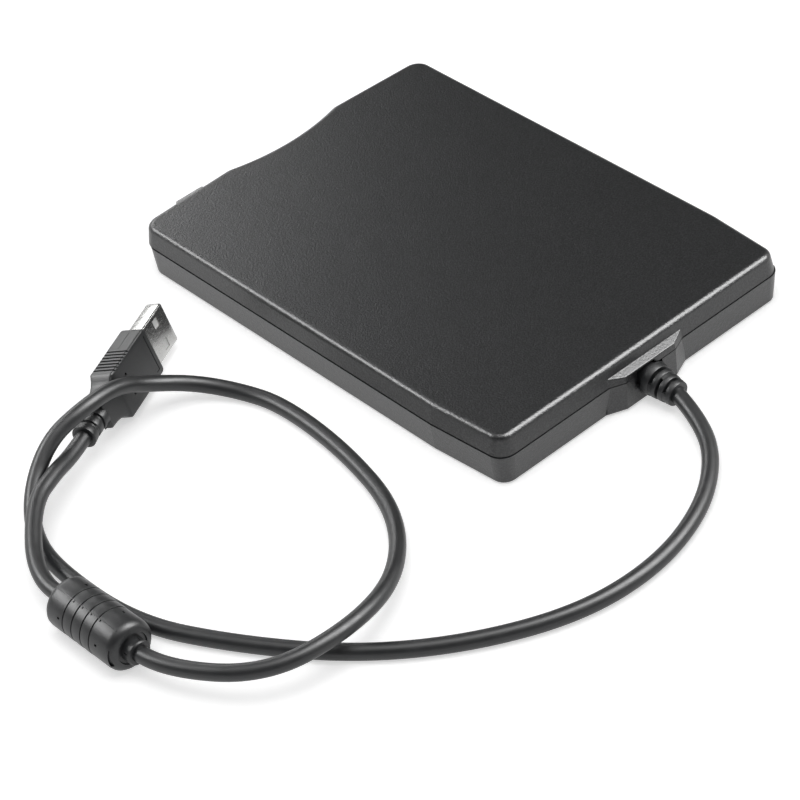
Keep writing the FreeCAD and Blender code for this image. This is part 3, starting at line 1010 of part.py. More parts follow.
def usb_plug():
    place = plug_placement()
    body = doc.addObject("PartDesign::Body", "PlugCore")
    side = [("0", "-plug_tall/2"), ("plug_length", "-plug_tall/2"), ("plug_length", "plug_tall/2"),
            ("0", "plug_tall/2"), ("0", "plug_tall/2 - 1"), ("-1.4", "5.2"), ("-3.4", "4.5"),
            ("-plug_neck", "4.1"), ("-plug_neck", "-4.1"), ("-3.4", "-4.5"), ("-1.4", "-5.2"),
            ("0", "1 - plug_tall/2")]
    solid = pad(body, profile(body, "XZ_Plane", side, "-plug_thick/2"), "plug_thick")
    rounding(body, solid, "0.9", lambda edge: edge.BoundBox.XMax < size("plug_length") + 1
             and edge.BoundBox.XLength > 10)
    grips = [block("Grip", (f"{2.0 + 1.7 * k}", f"{2.9 + 1.7 * k}"), ("-5", "5"), (low, high))
             for k in range(6) for low, high in (("plug_tall/2 - 0.4", "10"), ("-10", "0.4 - plug_tall/2"))]
    sleeve = cone("Sleeve", "x", "2.9", "3.3", ("-plug_relief", "0", "0"), "plug_relief + 0.4 - plug_neck")
    rings = []
    for start in ("-14.6", "-12.1", "-9.6"):
        outer = rod("ReliefOuter", "x", "5", (start, "0", "0"), "0.9")
        inner = rod("ReliefInner", "x", "cord_radius + 0.3", (start, "0", "0"), "0.9")
        rings.append(cut("ReliefGroove", outer, inner))
    whole = cut("PlugWhole", fuse("PlugBodySum", body, sleeve), *grips, *rings)
    whole.Placement = place
    keep(whole, "plug_body")
    outer = block("ShellOuter", ("plug_length", "plug_length + shell_length"),
                  ("-shell_thick/2", "shell_thick/2"), ("-shell_tall/2", "shell_tall/2"))
    rounded = soften("ShellSoft", outer, 0.5, lambda edge: edge.BoundBox.XLength > 5)
    inner = block("ShellInner", ("plug_length - 1", "plug_length + shell_length + 1"),
                  ("shell_wall - shell_thick/2", "shell_thick/2 - shell_wall"),
                  ("shell_wall - shell_tall/2", "shell_tall/2 - shell_wall"))
    eyes = [block("ShellEye", ("plug_length + 5.4", "plug_length + 7.8"), ("-4", "4"),
                  (f"{z} - 1.3", f"{z} + 1.3")) for z in ("-3.4", "3.4")]
    shell = cut("PlugShell", rounded, inner, *eyes)
    shell.Placement = place
    keep(shell, "plug_shell")
    tongue = block("Tongue", ("plug_length", "plug_length + 10.8"), ("shell_wall - shell_thick/2", "-0.05"),
                   ("shell_wall - shell_tall/2 + 0.02", "shell_tall/2 - shell_wall - 0.02"))
    insulator = group("PlugInsulator", tongue)
    insulator.Placement = place
    keep(insulator, "plug_insulator")
    strips = [block("Strip", ("plug_length", "plug_length + 8.6"), ("-0.05", "0.1"),
                    (f"{z} - 0.5", f"{z} + 0.5")) for z in ("-4.2", "-1", "1", "4.2")]
    contacts = group("PlugContacts", *strips)
    contacts.Placement = place
    keep(contacts, "plug_contacts")


def build():
    top_cover()
    bottom_cover()
    small_case_pieces()
    fascia()
    slot_door()
    drive_chassis()
    chassis_screws()
    eject_button()
    eject_slider()
    slider_springs()
    disk_holder()
    latch_parts()
    spindle_motor()
    guide_rods()
    head_carriage()
    upper_head_arm()
    stepper()
    electronics()
    cord_boot()
    cable()
    ferrite()
    usb_plug()
    doc.recompute()


def check_and_export():
    failed = [item.Label for item in doc.Objects if {"Invalid", "Error"} & set(item.State)]
    empty = [part.Label for part in PARTS if part.Shape.isNull() or not part.Shape.isValid()]
    if failed or empty:
        raise SystemExit(f"failed: {failed} not valid: {empty}")
    os.makedirs("parts", exist_ok=True)
    for part in PARTS:
        part.Shape.exportStep(f"parts/{part.Label}.step")
        print(f"{part.Label}: {len(part.Shape.Solids)} solids, {part.Shape.Volume:.1f} mm3")


build()
check_and_export()
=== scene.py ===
"""Looks of a slim external floppy disk drive with a captive cord, ferrite and plug.

Metres, +Z up. -Y is the front with the disk slot, +Y the rear where the cord leaves.
"""
import math

import bmesh
import bpy
from mathutils import Matrix, Vector


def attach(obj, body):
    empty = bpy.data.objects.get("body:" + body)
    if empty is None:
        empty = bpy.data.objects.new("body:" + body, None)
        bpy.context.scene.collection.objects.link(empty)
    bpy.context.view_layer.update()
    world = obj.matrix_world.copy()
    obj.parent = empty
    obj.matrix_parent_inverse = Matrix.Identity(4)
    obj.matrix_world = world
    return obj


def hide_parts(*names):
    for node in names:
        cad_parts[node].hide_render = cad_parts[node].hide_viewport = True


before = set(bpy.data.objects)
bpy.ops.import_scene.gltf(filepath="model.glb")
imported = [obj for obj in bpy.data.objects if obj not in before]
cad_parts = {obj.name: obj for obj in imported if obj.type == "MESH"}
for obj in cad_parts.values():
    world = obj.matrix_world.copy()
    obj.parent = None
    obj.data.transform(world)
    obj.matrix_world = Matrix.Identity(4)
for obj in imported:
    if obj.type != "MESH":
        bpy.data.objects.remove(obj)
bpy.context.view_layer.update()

MM = 0.001

# ---------------------------------------------------------------- camera

CAMERA_SPOT = Vector((0.410005, 0.512245, 0.503595))
CAMERA_AIM = Vector((0.043615, 0.027855, 0.0))
CAMERA_ROLL = math.radians(-7.92)
CAMERA_LENS = 139.42
CAMERA_SENSOR = 36
NEAREST_SEEN = 0.05


def add_camera():
    data = bpy.data.cameras.new("studio_camera")
    data.lens = CAMERA_LENS
    data.sensor_width = CAMERA_SENSOR
    data.clip_start = NEAREST_SEEN
    camera = bpy.data.objects.new("studio_camera", data)
    bpy.context.collection.objects.link(camera)
    aim = (CAMERA_AIM - CAMERA_SPOT).to_track_quat("-Z", "Y").to_matrix().to_4x4()
    camera.matrix_world = Matrix.Translation(CAMERA_SPOT) @ aim @ Matrix.Rotation(CAMERA_ROLL, 4, "Z")
    bpy.context.scene.camera = camera


# ---------------------------------------------------------------- node helpers

def wire(tree, source, target):
    tree.links.new(source, target)


def node(tree, kind, **settings):
    """A shader node with its named attributes and input values set."""
    made = tree.nodes.new(kind)
    for name, value in settings.items():
        if hasattr(made, name) and name not in made.inputs:
            setattr(made, name, value)
        else:
            made.inputs[name.replace("_", " ")].default_value = value
    return made


def new_group(name, inputs, outputs):
    """A shader node group with named sockets, and its input and output nodes."""
    group = bpy.data.node_groups.new(name, "ShaderNodeTree")
    for label, kind, value in inputs:
        socket = group.interface.new_socket(label, in_out="INPUT", socket_type=kind)
        if value is not None:
            socket.default_value = value
    for label, kind in outputs:
        group.interface.new_socket(label, in_out="OUTPUT", socket_type=kind)
    return group, group.nodes.new("NodeGroupInput"), group.nodes.new("NodeGroupOutput")


def spread(tree, value, low, high, new_low, new_high):
    """Maps a value's range to another one, clamped."""
    ramp = tree.nodes.new("ShaderNodeMapRange")
    wire(tree, value, ramp.inputs["Value"])
    for name, number in (("From Min", low), ("From Max", high), ("To Min", new_low), ("To Max", new_high)):
        ramp.inputs[name].default_value = number
    return ramp.outputs["Result"]


def maths(tree, operation, first, second):
    """A maths node on two sockets or numbers."""
    made = tree.nodes.new("ShaderNodeMath")
    made.operation = operation
    for socket, value in zip(made.inputs, (first, second)):
        if isinstance(value, (int, float)):
            socket.default_value = value
        else:
            wire(tree, value, socket)
    return made.outputs["Value"]


def tint(tree, factor, dark, light):
    """A colour between two, by a factor that changes over the surface."""
    mix = tree.nodes.new("ShaderNodeMix")
    mix.data_type = "RGBA"
    wire(tree, factor, mix.inputs["Factor"])
    mix.inputs["A"].default_value = (*dark, 1)
    mix.inputs["B"].default_value = (*light, 1)
    return mix.outputs["Result"]


# ---------------------------------------------------------------- shared surface patterns

def spark_group():
    """Spark-eroded mould texture: fine pits over a slightly wavy skin."""
    group, given, result = new_group(
        "spark_texture",
        (("Vector", "NodeSocketVector", None), ("Pit Size", "NodeSocketFloat", 0.0003)),
        (("Height", "NodeSocketFloat"), ("Fleck", "NodeSocketFloat")))
    per_metre = maths(group, "DIVIDE", 1.0, given.outputs["Pit Size"])
    pits = node(group, "ShaderNodeTexNoise", Detail=2.5, Roughness=0.6)
    wire(group, given.outputs["Vector"], pits.inputs["Vector"])
    wire(group, per_metre, pits.inputs["Scale"])
    cells = node(group, "ShaderNodeTexVoronoi", feature="SMOOTH_F1", Smoothness=0.6)
    wire(group, given.outputs["Vector"], cells.inputs["Vector"])
    wire(group, maths(group, "MULTIPLY", per_metre, 0.8), cells.inputs["Scale"])
    grain = maths(group, "ADD", pits.outputs["Fac"], maths(group, "MULTIPLY", cells.outputs["Distance"], 0.5))
    wire(group, grain, result.inputs["Height"])
    wire(group, spread(group, grain, 0.55, 1.05, 0.0, 1.0), result.inputs["Fleck"])
    return group


def patch_group():
    """Broad soft patches, as handling and uneven gloss leave them."""
    group, given, result = new_group(
        "handling_patches",
        (("Vector", "NodeSocketVector", None), ("Patch Size", "NodeSocketFloat", 0.02)),
        (("Patch", "NodeSocketFloat"), ("Smudge", "NodeSocketFloat")))
    per_metre = maths(group, "DIVIDE", 1.0, given.outputs["Patch Size"])
    broad = node(group, "ShaderNodeTexNoise", Detail=3.0, Roughness=0.5)
    fine = node(group, "ShaderNodeTexNoise", Detail=5.0, Roughness=0.65, Distortion=0.6)
    for texture, factor in ((broad, 1.0), (fine, 4.0)):
        wire(group, given.outputs["Vector"], texture.inputs["Vector"])
        wire(group, maths(group, "MULTIPLY", per_metre, factor), texture.inputs["Scale"])
    wire(group, spread(group, broad.outputs["Fac"], 0.3, 0.7, 0.0, 1.0), result.inputs["Patch"])
    wire(group, spread(group, fine.outputs["Fac"], 0.42, 0.72, 0.0, 1.0), result.inputs["Smudge"])
    return group


def rolled_group():
    """Rolling marks of sheet metal along one direction, with a little tarnish."""
    group, given, result = new_group(
        "rolled_sheet",
        (("Vector", "NodeSocketVector", None),),
        (("Streak", "NodeSocketFloat"), ("Tarnish", "NodeSocketFloat")))
    stretch = node(group, "ShaderNodeMapping", Scale=(60, 2500, 2500))
    wire(group, given.outputs["Vector"], stretch.inputs["Vector"])
    lines = node(group, "ShaderNodeTexNoise", Scale=1.0, Detail=3.0)
    wire(group, stretch.outputs["Vector"], lines.inputs["Vector"])
    stain = node(group, "ShaderNodeTexNoise", Scale=90.0, Detail=4.0)
    wire(group, given.outputs["Vector"], stain.inputs["Vector"])
    wire(group, lines.outputs["Fac"], result.inputs["Streak"])
    wire(group, spread(group, stain.outputs["Fac"], 0.35, 0.75, 0.0, 1.0), result.inputs["Tarnish"])
    return group


SPARK = spark_group()
PATCHES = patch_group()
ROLLED = rolled_group()


# ---------------------------------------------------------------- materials

def blank_material(name):
    """A new material with its node tree, its shader and the object's own coordinates."""
    made = bpy.data.materials.new(name)
    made.use_nodes = True
    tree = made.node_tree
    shader = tree.nodes["Principled BSDF"]
    place = tree.nodes.new("ShaderNodeTexCoord").outputs["Object"]
    return made, tree, shader, place


def use_group(tree, group, place, **values):
    """A shared pattern, read at the object's own coordinates."""
    made = tree.nodes.new("ShaderNodeGroup")
    made.node_tree = group
    wire(tree, place, made.inputs["Vector"])
    for name, value in values.items():
        made.inputs[name.replace("_", " ")].default_value = value
    return made


def bump(tree, shader, height, strength, distance):
    made = tree.nodes.new("ShaderNodeBump")
    made.inputs["Strength"].default_value = strength
    made.inputs["Distance"].default_value = distance
    wire(tree, height, made.inputs["Height"])
    wire(tree, made.outputs["Normal"], shader.inputs["Normal"])


def moulded_plastic(name, dark, light, rough, pit=0.0003, depth=0.00002, strength=0.35, level=0.5,
                    smudge=0.04):
    """Injection-moulded plastic: fine pits, flecks of tone and slightly uneven gloss."""
    made, tree, shader, place = blank_material(name)
    spark = use_group(tree, SPARK, place, Pit_Size=pit)
    patches = use_group(tree, PATCHES, place, Patch_Size=0.025)
    wire(tree, tint(tree, spark.outputs["Fleck"], dark, light), shader.inputs["Base Color"])
    gloss = spread(tree, patches.outputs["Smudge"], 0.0, 1.0, rough, rough + smudge)
    wire(tree, gloss, shader.inputs["Roughness"])
    shader.inputs["Specular IOR Level"].default_value = level
    bump(tree, shader, spark.outputs["Height"], strength, depth)
    return made


def sheet_metal(name, dark, light, rough, metallic=1.0):
    """Plated or bare sheet with rolling marks and faint tarnish."""
    made, tree, shader, place = blank_material(name)
    rolled = use_group(tree, ROLLED, place)
    wire(tree, tint(tree, rolled.outputs["Tarnish"], light, dark), shader.inputs["Base Color"])
    wire(tree, spread(tree, rolled.outputs["Streak"], 0.2, 0.8, rough, rough + 0.15),
         shader.inputs["Roughness"])
    shader.inputs["Metallic"].default_value = metallic
    bump(tree, shader, rolled.outputs["Streak"], 0.15, 0.00001)
    return made


def circuit_board(name):
    """Solder mask that lets the copper runs and the rings round the pads show through."""
    made, tree, shader, place = blank_material(name)
    rings = node(tree, "ShaderNodeTexVoronoi", feature="DISTANCE_TO_EDGE", Scale=320.0)
    runs = node(tree, "ShaderNodeTexBrick", Scale=260.0, Mortar_Size=0.09, Mortar_Smooth=0.2)
    wire(tree, place, rings.inputs["Vector"])
    wire(tree, place, runs.inputs["Vector"])
    edge = spread(tree, rings.outputs["Distance"], 0.0, 0.02, 1.0, 0.0)
    copper = maths(tree, "MULTIPLY", runs.outputs["Fac"], maths(tree, "SUBTRACT", 1.0, edge))
    wire(tree, tint(tree, copper, (0.006, 0.055, 0.022), (0.012, 0.11, 0.045)), shader.inputs["Base Color"])
    shader.inputs["Roughness"].default_value = 0.32
    bump(tree, shader, copper, 0.3, 0.00003)
    return made


def copper_wire(name):
    """Fine enamelled turns laid side by side."""
    made, tree, shader, place = blank_material(name)
    turns = node(tree, "ShaderNodeTexWave", wave_type="BANDS", bands_direction="Z", Scale=1400.0,
                 Distortion=0.4)
    wire(tree, place, turns.inputs["Vector"])
    wire(tree, tint(tree, turns.outputs["Fac"], (0.16, 0.045, 0.012), (0.52, 0.2, 0.06)),
         shader.inputs["Base Color"])
    shader.inputs["Metallic"].default_value = 0.8
    shader.inputs["Roughness"].default_value = 0.3
    bump(tree, shader, turns.outputs["Fac"], 0.6, 0.00005)
    return made


def cord_skin(name):
    """Soft vinyl: almost smooth, with faint patches of tone and gloss and a fine pitted bump."""
    made, tree, shader, place = blank_material(name)
    patches = use_group(tree, PATCHES, place, Patch_Size=0.012)
    spark = use_group(tree, SPARK, place, Pit_Size=0.0004)
    wire(tree, tint(tree, patches.outputs["Patch"], (0.01, 0.011, 0.012), (0.015, 0.016, 0.018)),
         shader.inputs["Base Color"])
    wire(tree, spread(tree, patches.outputs["Smudge"], 0.0, 1.0, 0.4, 0.48), shader.inputs["Roughness"])
    shader.inputs["Specular IOR Level"].default_value = 0.55
    bump(tree, shader, spark.outputs["Height"], 0.12, 0.00001)
    return made


def clear_lens(name):
    """Milky green lens that lets a little light through."""
    made, tree, shader, place = blank_material(name)
    patches = use_group(tree, PATCHES, place, Patch_Size=0.002)
    wire(tree, tint(tree, patches.outputs["Patch"], (0.35, 0.55, 0.25), (0.45, 0.65, 0.33)),
         shader.inputs["Base Color"])
    shader.inputs["Roughness"].default_value = 0.15
    shader.inputs["Subsurface Weight"].default_value = 0.3
    shader.inputs["Subsurface Radius"].default_value = (0.001, 0.001, 0.001)
    return made


CASE = moulded_plastic("case_texture", (0.002, 0.0023, 0.003), (0.03, 0.031, 0.033), 0.33,
                       pit=0.00042, depth=0.00008, strength=0.75, level=0.66, smudge=0.012)
FASCIA = moulded_plastic("fascia_texture", (0.012, 0.012, 0.013), (0.02, 0.02, 0.021), 0.5)
BUTTON = moulded_plastic("grey_button_texture", (0.33, 0.33, 0.33), (0.4, 0.4, 0.4), 0.4)
MOULDED = moulded_plastic("moulded_strain_relief", (0.01, 0.011, 0.012), (0.017, 0.018, 0.02), 0.4,
                          pit=0.00025, depth=0.00003, level=0.55)
RUBBER = moulded_plastic("foot_rubber", (0.008, 0.008, 0.008), (0.014, 0.014, 0.014), 0.75, pit=0.0005)
LABEL = moulded_plastic("bare_label_film", (0.33, 0.33, 0.34), (0.4, 0.4, 0.41), 0.35,
                        pit=0.0009, depth=0.00001, strength=0.1)
ACETAL = moulded_plastic("white_acetal", (0.55, 0.54, 0.49), (0.64, 0.63, 0.58), 0.4)
TONGUE = moulded_plastic("white_contact_block", (0.8, 0.8, 0.79), (0.86, 0.86, 0.85), 0.35)
NYLON = moulded_plastic("dark_nylon", (0.02, 0.02, 0.022), (0.035, 0.035, 0.037), 0.5)
CHIP = moulded_plastic("chip_epoxy", (0.012, 0.012, 0.013), (0.02, 0.02, 0.022), 0.55, pit=0.0002)
FERRITE = moulded_plastic("sintered_ferrite", (0.02, 0.02, 0.022), (0.045, 0.045, 0.05), 0.6, pit=0.0005)
CERAMIC = moulded_plastic("polished_ceramic", (0.02, 0.018, 0.016), (0.03, 0.027, 0.025), 0.12)
FILM = moulded_plastic("amber_film", (0.3, 0.12, 0.02), (0.42, 0.18, 0.03), 0.2)
ZINC = sheet_metal("zinc_plated_sheet", (0.36, 0.36, 0.35), (0.55, 0.55, 0.54), 0.28)
GROUND = sheet_metal("ground_steel", (0.5, 0.5, 0.51), (0.66, 0.66, 0.67), 0.14)
SPRING = sheet_metal("spring_wire", (0.28, 0.28, 0.29), (0.45, 0.45, 0.46), 0.25)
BLACKENED = sheet_metal("blackened_screw", (0.03, 0.03, 0.032), (0.07, 0.07, 0.075), 0.35)
BRONZE = sheet_metal("sintered_bronze", (0.34, 0.19, 0.07), (0.5, 0.31, 0.13), 0.35)
LAMINATED = sheet_metal("motor_laminations", (0.12, 0.12, 0.13), (0.22, 0.22, 0.23), 0.4)
NICKEL = sheet_metal("nickel_plated_shell", (0.4, 0.4, 0.395), (0.52, 0.52, 0.51), 0.16)
GOLD = sheet_metal("gold_contact", (0.62, 0.4, 0.12), (0.83, 0.58, 0.22), 0.2)
BOARD = circuit_board("circuit_board")
COPPER = copper_wire("motor_windings")
CORD = cord_skin("cord_vinyl")
LENS = clear_lens("lamp_lens")

FINISHES = {
    CASE: ("top_cover", "bottom_cover"),
    FASCIA: ("front_bezel", "slot_door"),
    BUTTON: ("eject_button",),
    LENS: ("led_lens",),
    BLACKENED: ("case_screws", "chassis_screws"),
    RUBBER: ("rubber_feet",),
    LABEL: ("label_plate",),
    MOULDED: ("cord_boot", "ferrite_housing", "plug_body"),
    ZINC: ("drive_chassis", "eject_slider", "disk_holder", "latch_lever", "spindle_rotor",
           "stepper_motor", "stepper_bracket"),
    SPRING: ("slider_springs", "slot_door_spring", "latch_lever_spring"),
    GROUND: ("slot_door_pin", "latch_pivot", "spindle_shaft", "spindle_hub", "guide_rods",
             "arm_pivot_pin", "lead_screw"),
    BOARD: ("motor_board", "main_board", "interface_board"),
    BRONZE: ("spindle_bearing",),
    LAMINATED: ("stator_core",),
    COPPER: ("stator_coils",),
    FERRITE: ("rotor_magnet", "ferrite_core"),
    NYLON: ("head_carriage",),
    ACETAL: ("screw_follower", "upper_head_arm", "cord_socket", "flex_connector",
             "write_protect_plunger", "density_plunger", "disk_in_plunger"),
    CERAMIC: ("lower_head", "upper_head"),
    CHIP: ("track_zero_sensor", "board_chips", "switch_block", "interface_chips"),
    CORD: ("inner_lead", "cable"),
    FILM: ("head_flex_cable",),
    NICKEL: ("plug_shell",),
    TONGUE: ("plug_insulator",),
    GOLD: ("plug_contacts",),
}


def finish_cad_nodes():
    for made, names in FINISHES.items():
        for name in names:
            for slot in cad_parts[name].material_slots:
                slot.material = made


# ---------------------------------------------------------------- cord

CORD_RADIUS = 2.15 * MM

# The cord's centre line in millimetres, from the strain relief to the plug. Two points more
# hold it straight inside the ferrite.
CORD_ROUTE = [
    (0.0, 83.6, 5.05), (2.4, 93.2, 4.1), (9.3, 105.0, 2.6), (24.8, 115.9, 2.15),
    (46.1, 121.6, 2.15), (69.5, 119.3, 2.15), (93.6, 107.1, 2.15), (114.0, 89.5, 2.15),
    (130.4, 65.8, 2.15), (141.7, 43.2, 2.15), (143.0, 14.1, 2.15), (139.3, -1.1, 2.15),
    (131.5, -11.0, 6.2), (121.2, -15.3, 13.2), (109.6, -14.7, 16.7), (98.1, -16.8, 15.2),
    (88.9, -17.7, 9.5), (77.9, -13.8, 5.0), (69.9, -4.7, 2.15), (66.1, 8.6, 2.15),
    (67.5, 34.0, 2.15), (74.0, 60.5, 2.3), (91.0, 80.5, 5.5), (112.9, 89.2, 9.8),
    (136.4, 85.7, 9.4), (149.61, 63.2, 6.7), (149.9, 46.6, 6.7), (150.17, 31.1, 6.7),
    (150.44, 15.5, 6.7), (136.5, -2.9, 9.4), (125.5, -8.3, 9.3), (118.36, -11.52, 7.83),
    (111.557, -14.92, 7.83),
]


def cord_curve():
    """The cord as one smooth spline whose control points are the route's points."""
    data = bpy.data.curves.new("cord", "CURVE")
    data.dimensions = "3D"
    data.resolution_u = 16
    data.bevel_depth = CORD_RADIUS
    data.bevel_resolution = 8
    data.use_fill_caps = True
    spline = data.splines.new("NURBS")
    spline.points.add(len(CORD_ROUTE) - 1)
    for control, spot in zip(spline.points, CORD_ROUTE):
        control.co = (*(Vector(spot) * MM), 1.0)
    spline.order_u = 3
    spline.use_endpoint_u = True
    spline.use_smooth = True
    cord = bpy.data.objects.new("cord", data)
    bpy.context.collection.objects.link(cord)
    data.materials.append(CORD)
    return cord


# ---------------------------------------------------------------- modelling helpers

def turned(outline, rounding=0.0, turn=math.tau, begin=0.0):
    """A ring round the x axis from its (along, radius) outline; a part turn is closed off."""
    part = bmesh.new()
    spots = [part.verts.new((along, 0, radius)) for along, radius in outline]
    for first, second in zip(spots, spots[1:] + spots[:1]):
        part.edges.new((first, second))
    if rounding:
        bmesh.ops.bevel(part, geom=part.verts[:], offset=rounding, offset_type="OFFSET", segments=3,
                        profile=0.5, affect="VERTICES", material=-1, clamp_overlap=True)
    if turn < math.tau:
        bmesh.ops.contextual_create(part, geom=part.edges[:])
    bmesh.ops.rotate(part, verts=part.verts[:], cent=(0, 0, 0), matrix=Matrix.Rotation(begin, 3, "X"))
    bmesh.ops.spin(part, geom=part.verts[:] + part.edges[:] + part.faces[:], axis=(1, 0, 0),
                   cent=(0, 0, 0), dvec=(0, 0, 0), angle=turn, steps=max(4, round(72 * turn / math.tau)),
                   use_merge=turn == math.tau, use_duplicate=False)
    bmesh.ops.recalc_face_normals(part, faces=part.faces[:])
    return part


def lofted(stations, capped=True):
    """A skin along x through rounded rectangles of (along, half thickness, half height, corner)."""
    part = bmesh.new()
    rings = []
    for along, half_thick, half_tall, corner in stations:
        known = set(part.edges)
        places = ((half_thick, half_tall), (-half_thick, half_tall), (-half_thick, -half_tall),
                  (half_thick, -half_tall))
        spots = [part.verts.new((along, across, up)) for across, up in places]
        for first, second in zip(spots, spots[1:] + spots[:1]):
            part.edges.new((first, second))
        bmesh.ops.bevel(part, geom=spots, offset=corner, offset_type="OFFSET", segments=4,
                        profile=0.5, affect="VERTICES", material=-1)
        rings.append([edge for edge in part.edges if edge not in known])
    for first, second in zip(rings, rings[1:]):
        bmesh.ops.bridge_loops(part, edges=first + second)
    if capped:
        bmesh.ops.contextual_create(part, geom=rings[0])
        bmesh.ops.contextual_create(part, geom=rings[-1])
    bmesh.ops.recalc_face_normals(part, faces=part.faces[:])
    return part


def ridge(low, high, soft=0.04):
    """A thin raised bar between two corners."""
    part = bmesh.new()
    bmesh.ops.create_cube(part, size=1.0)
    low, high = Vector(low), Vector(high)
    bmesh.ops.scale(part, vec=high - low, verts=part.verts[:])
    bmesh.ops.translate(part, vec=(low + high) / 2, verts=part.verts[:])
    bmesh.ops.bevel(part, geom=part.edges[:], offset=soft, offset_type="OFFSET", segments=2,
                    profile=0.5, affect="EDGES", material=-1)
    return part


def slice_across(part, axis, places):
    """Cuts edges right round a part at several places along one axis."""
    normal = Vector([1.0 if name == axis else 0.0 for name in "xyz"])
    for place in places:
        bmesh.ops.bisect_plane(part, geom=part.verts[:] + part.edges[:] + part.faces[:], dist=0.0001,
                               plane_co=normal * place, plane_no=normal)


def sink(part, test, rim, depth):
    """Presses the faces whose centre passes a test into the surface, inside a narrow rim."""
    chosen = [face for face in part.faces if test(face.calc_center_median())]
    if not chosen:
        raise ValueError("no face to press in")
    push = sum((face.normal for face in chosen), Vector()).normalized() * -depth
    bmesh.ops.inset_region(part, faces=chosen, thickness=rim, depth=0.0, use_even_offset=True)
    bmesh.ops.translate(part, verts=list({corner for face in chosen for corner in face.verts}), vec=push)


def joined(parts):
    """Several parts as one mesh; the parts are used up."""
    whole = bmesh.new()
    for part in parts:
        mesh = bpy.data.meshes.new("part")
        part.to_mesh(mesh)
        part.free()
        whole.from_mesh(mesh)
        bpy.data.meshes.remove(mesh)
    return whole


def finished(name, part, place, finish, slot, *nodes, crease=30):
    """Makes a shape in millimetres into a piece of the drive that stands for CAD nodes."""
    bmesh.ops.transform(part, matrix=Matrix.Scale(MM, 4) @ place, verts=part.verts[:])
    mesh = bpy.data.meshes.new(name)
    part.to_mesh(mesh)
    part.free()
    mesh.shade_smooth()
    mesh.set_sharp_from_angle(angle=math.radians(crease))
    mesh.materials.append(finish)
    piece = bpy.data.objects.new(name, mesh)
    bpy.context.collection.objects.link(piece)
    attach(piece, "base")
    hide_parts(*nodes)
    return piece


RELIEF_BORE = 2.12
RELIEF_LINING = 0.45
BRIDGE_TURN = 44


def slotted_rings(rings, radius, bridge_turns, rounding=0.16):
    """A strain relief's sleeve: rings with gaps between them, bridged on alternate sides."""
    hole = RELIEF_BORE
    first, last = rings[0][0], rings[-1][1] - 0.3
    lining = hole + RELIEF_LINING
    parts = [turned([(first, hole), (first, lining), (last, lining), (last, hole)])]
    for low, high in rings:
        parts.append(turned([(low, hole), (low, radius(low)), (high, radius(high)), (high, hole)], rounding))
    for (_, low), (high, _), turns in zip(rings, rings[1:], bridge_turns):
        outline = [(low - 0.2, hole), (low - 0.2, radius(low) - 0.12),
                   (high + 0.2, radius(high) - 0.12), (high + 0.2, hole)]
        for degrees in turns:
            parts.append(turned(outline, 0.0, math.radians(BRIDGE_TURN),
                                math.radians(degrees - BRIDGE_TURN / 2)))
    return parts


# ---------------------------------------------------------------- strain relief on the drive

def rear_strain_relief():
    """Flange and neck in the wall, then a tapered sleeve of slotted rings."""
    rings = ((75.4, 77.5), (78.4, 79.8), (80.6, 82.0), (82.8, 84.3))
    sleeve = joined(slotted_rings(rings, lambda along: 4.65 - 0.14 * (along - 75.4),
                                  ((90, 270), (0, 180), (90, 270))))
    droop = Matrix.Rotation(math.radians(5), 3, "Y")
    bmesh.ops.rotate(sleeve, verts=sleeve.verts[:], cent=(74.0, 0, 0), matrix=droop)
    neck = turned([(69.9, 1.2), (69.9, 3.8), (75.9, 3.8), (75.9, 1.2)], 0.1)
    flange = lofted(((69.9, 5.2, 3.3, 0.5), (71.15, 5.2, 3.3, 0.5)))
    quarter = Matrix.Rotation(math.radians(90), 4, "Z")
    finished("rear_strain_relief", joined([sleeve, neck, flange]),
             Matrix.Translation((0, 0, 5.8)) @ quarter, MOULDED, "moulded_black", "cord_boot")


# ---------------------------------------------------------------- ferrite

FERRITE_PLACE = Matrix.Translation((150.0, 40.6, 6.7)) @ Matrix.Rotation(math.radians(91), 4, "Z")
GROOVES = (-5.8, -2.5, 0.8, 4.1)
PIT_REACH = 3.6


def angle_about_x(spot):
    """Degrees from the top towards the side that lies at -y before the piece is placed."""
    return math.degrees(math.atan2(-spot.y, spot.z))


def turn_between(spot, turn):
    """How many degrees a spot lies from a direction round the x axis."""
    return abs((angle_about_x(spot) - turn + 180) % 360 - 180)


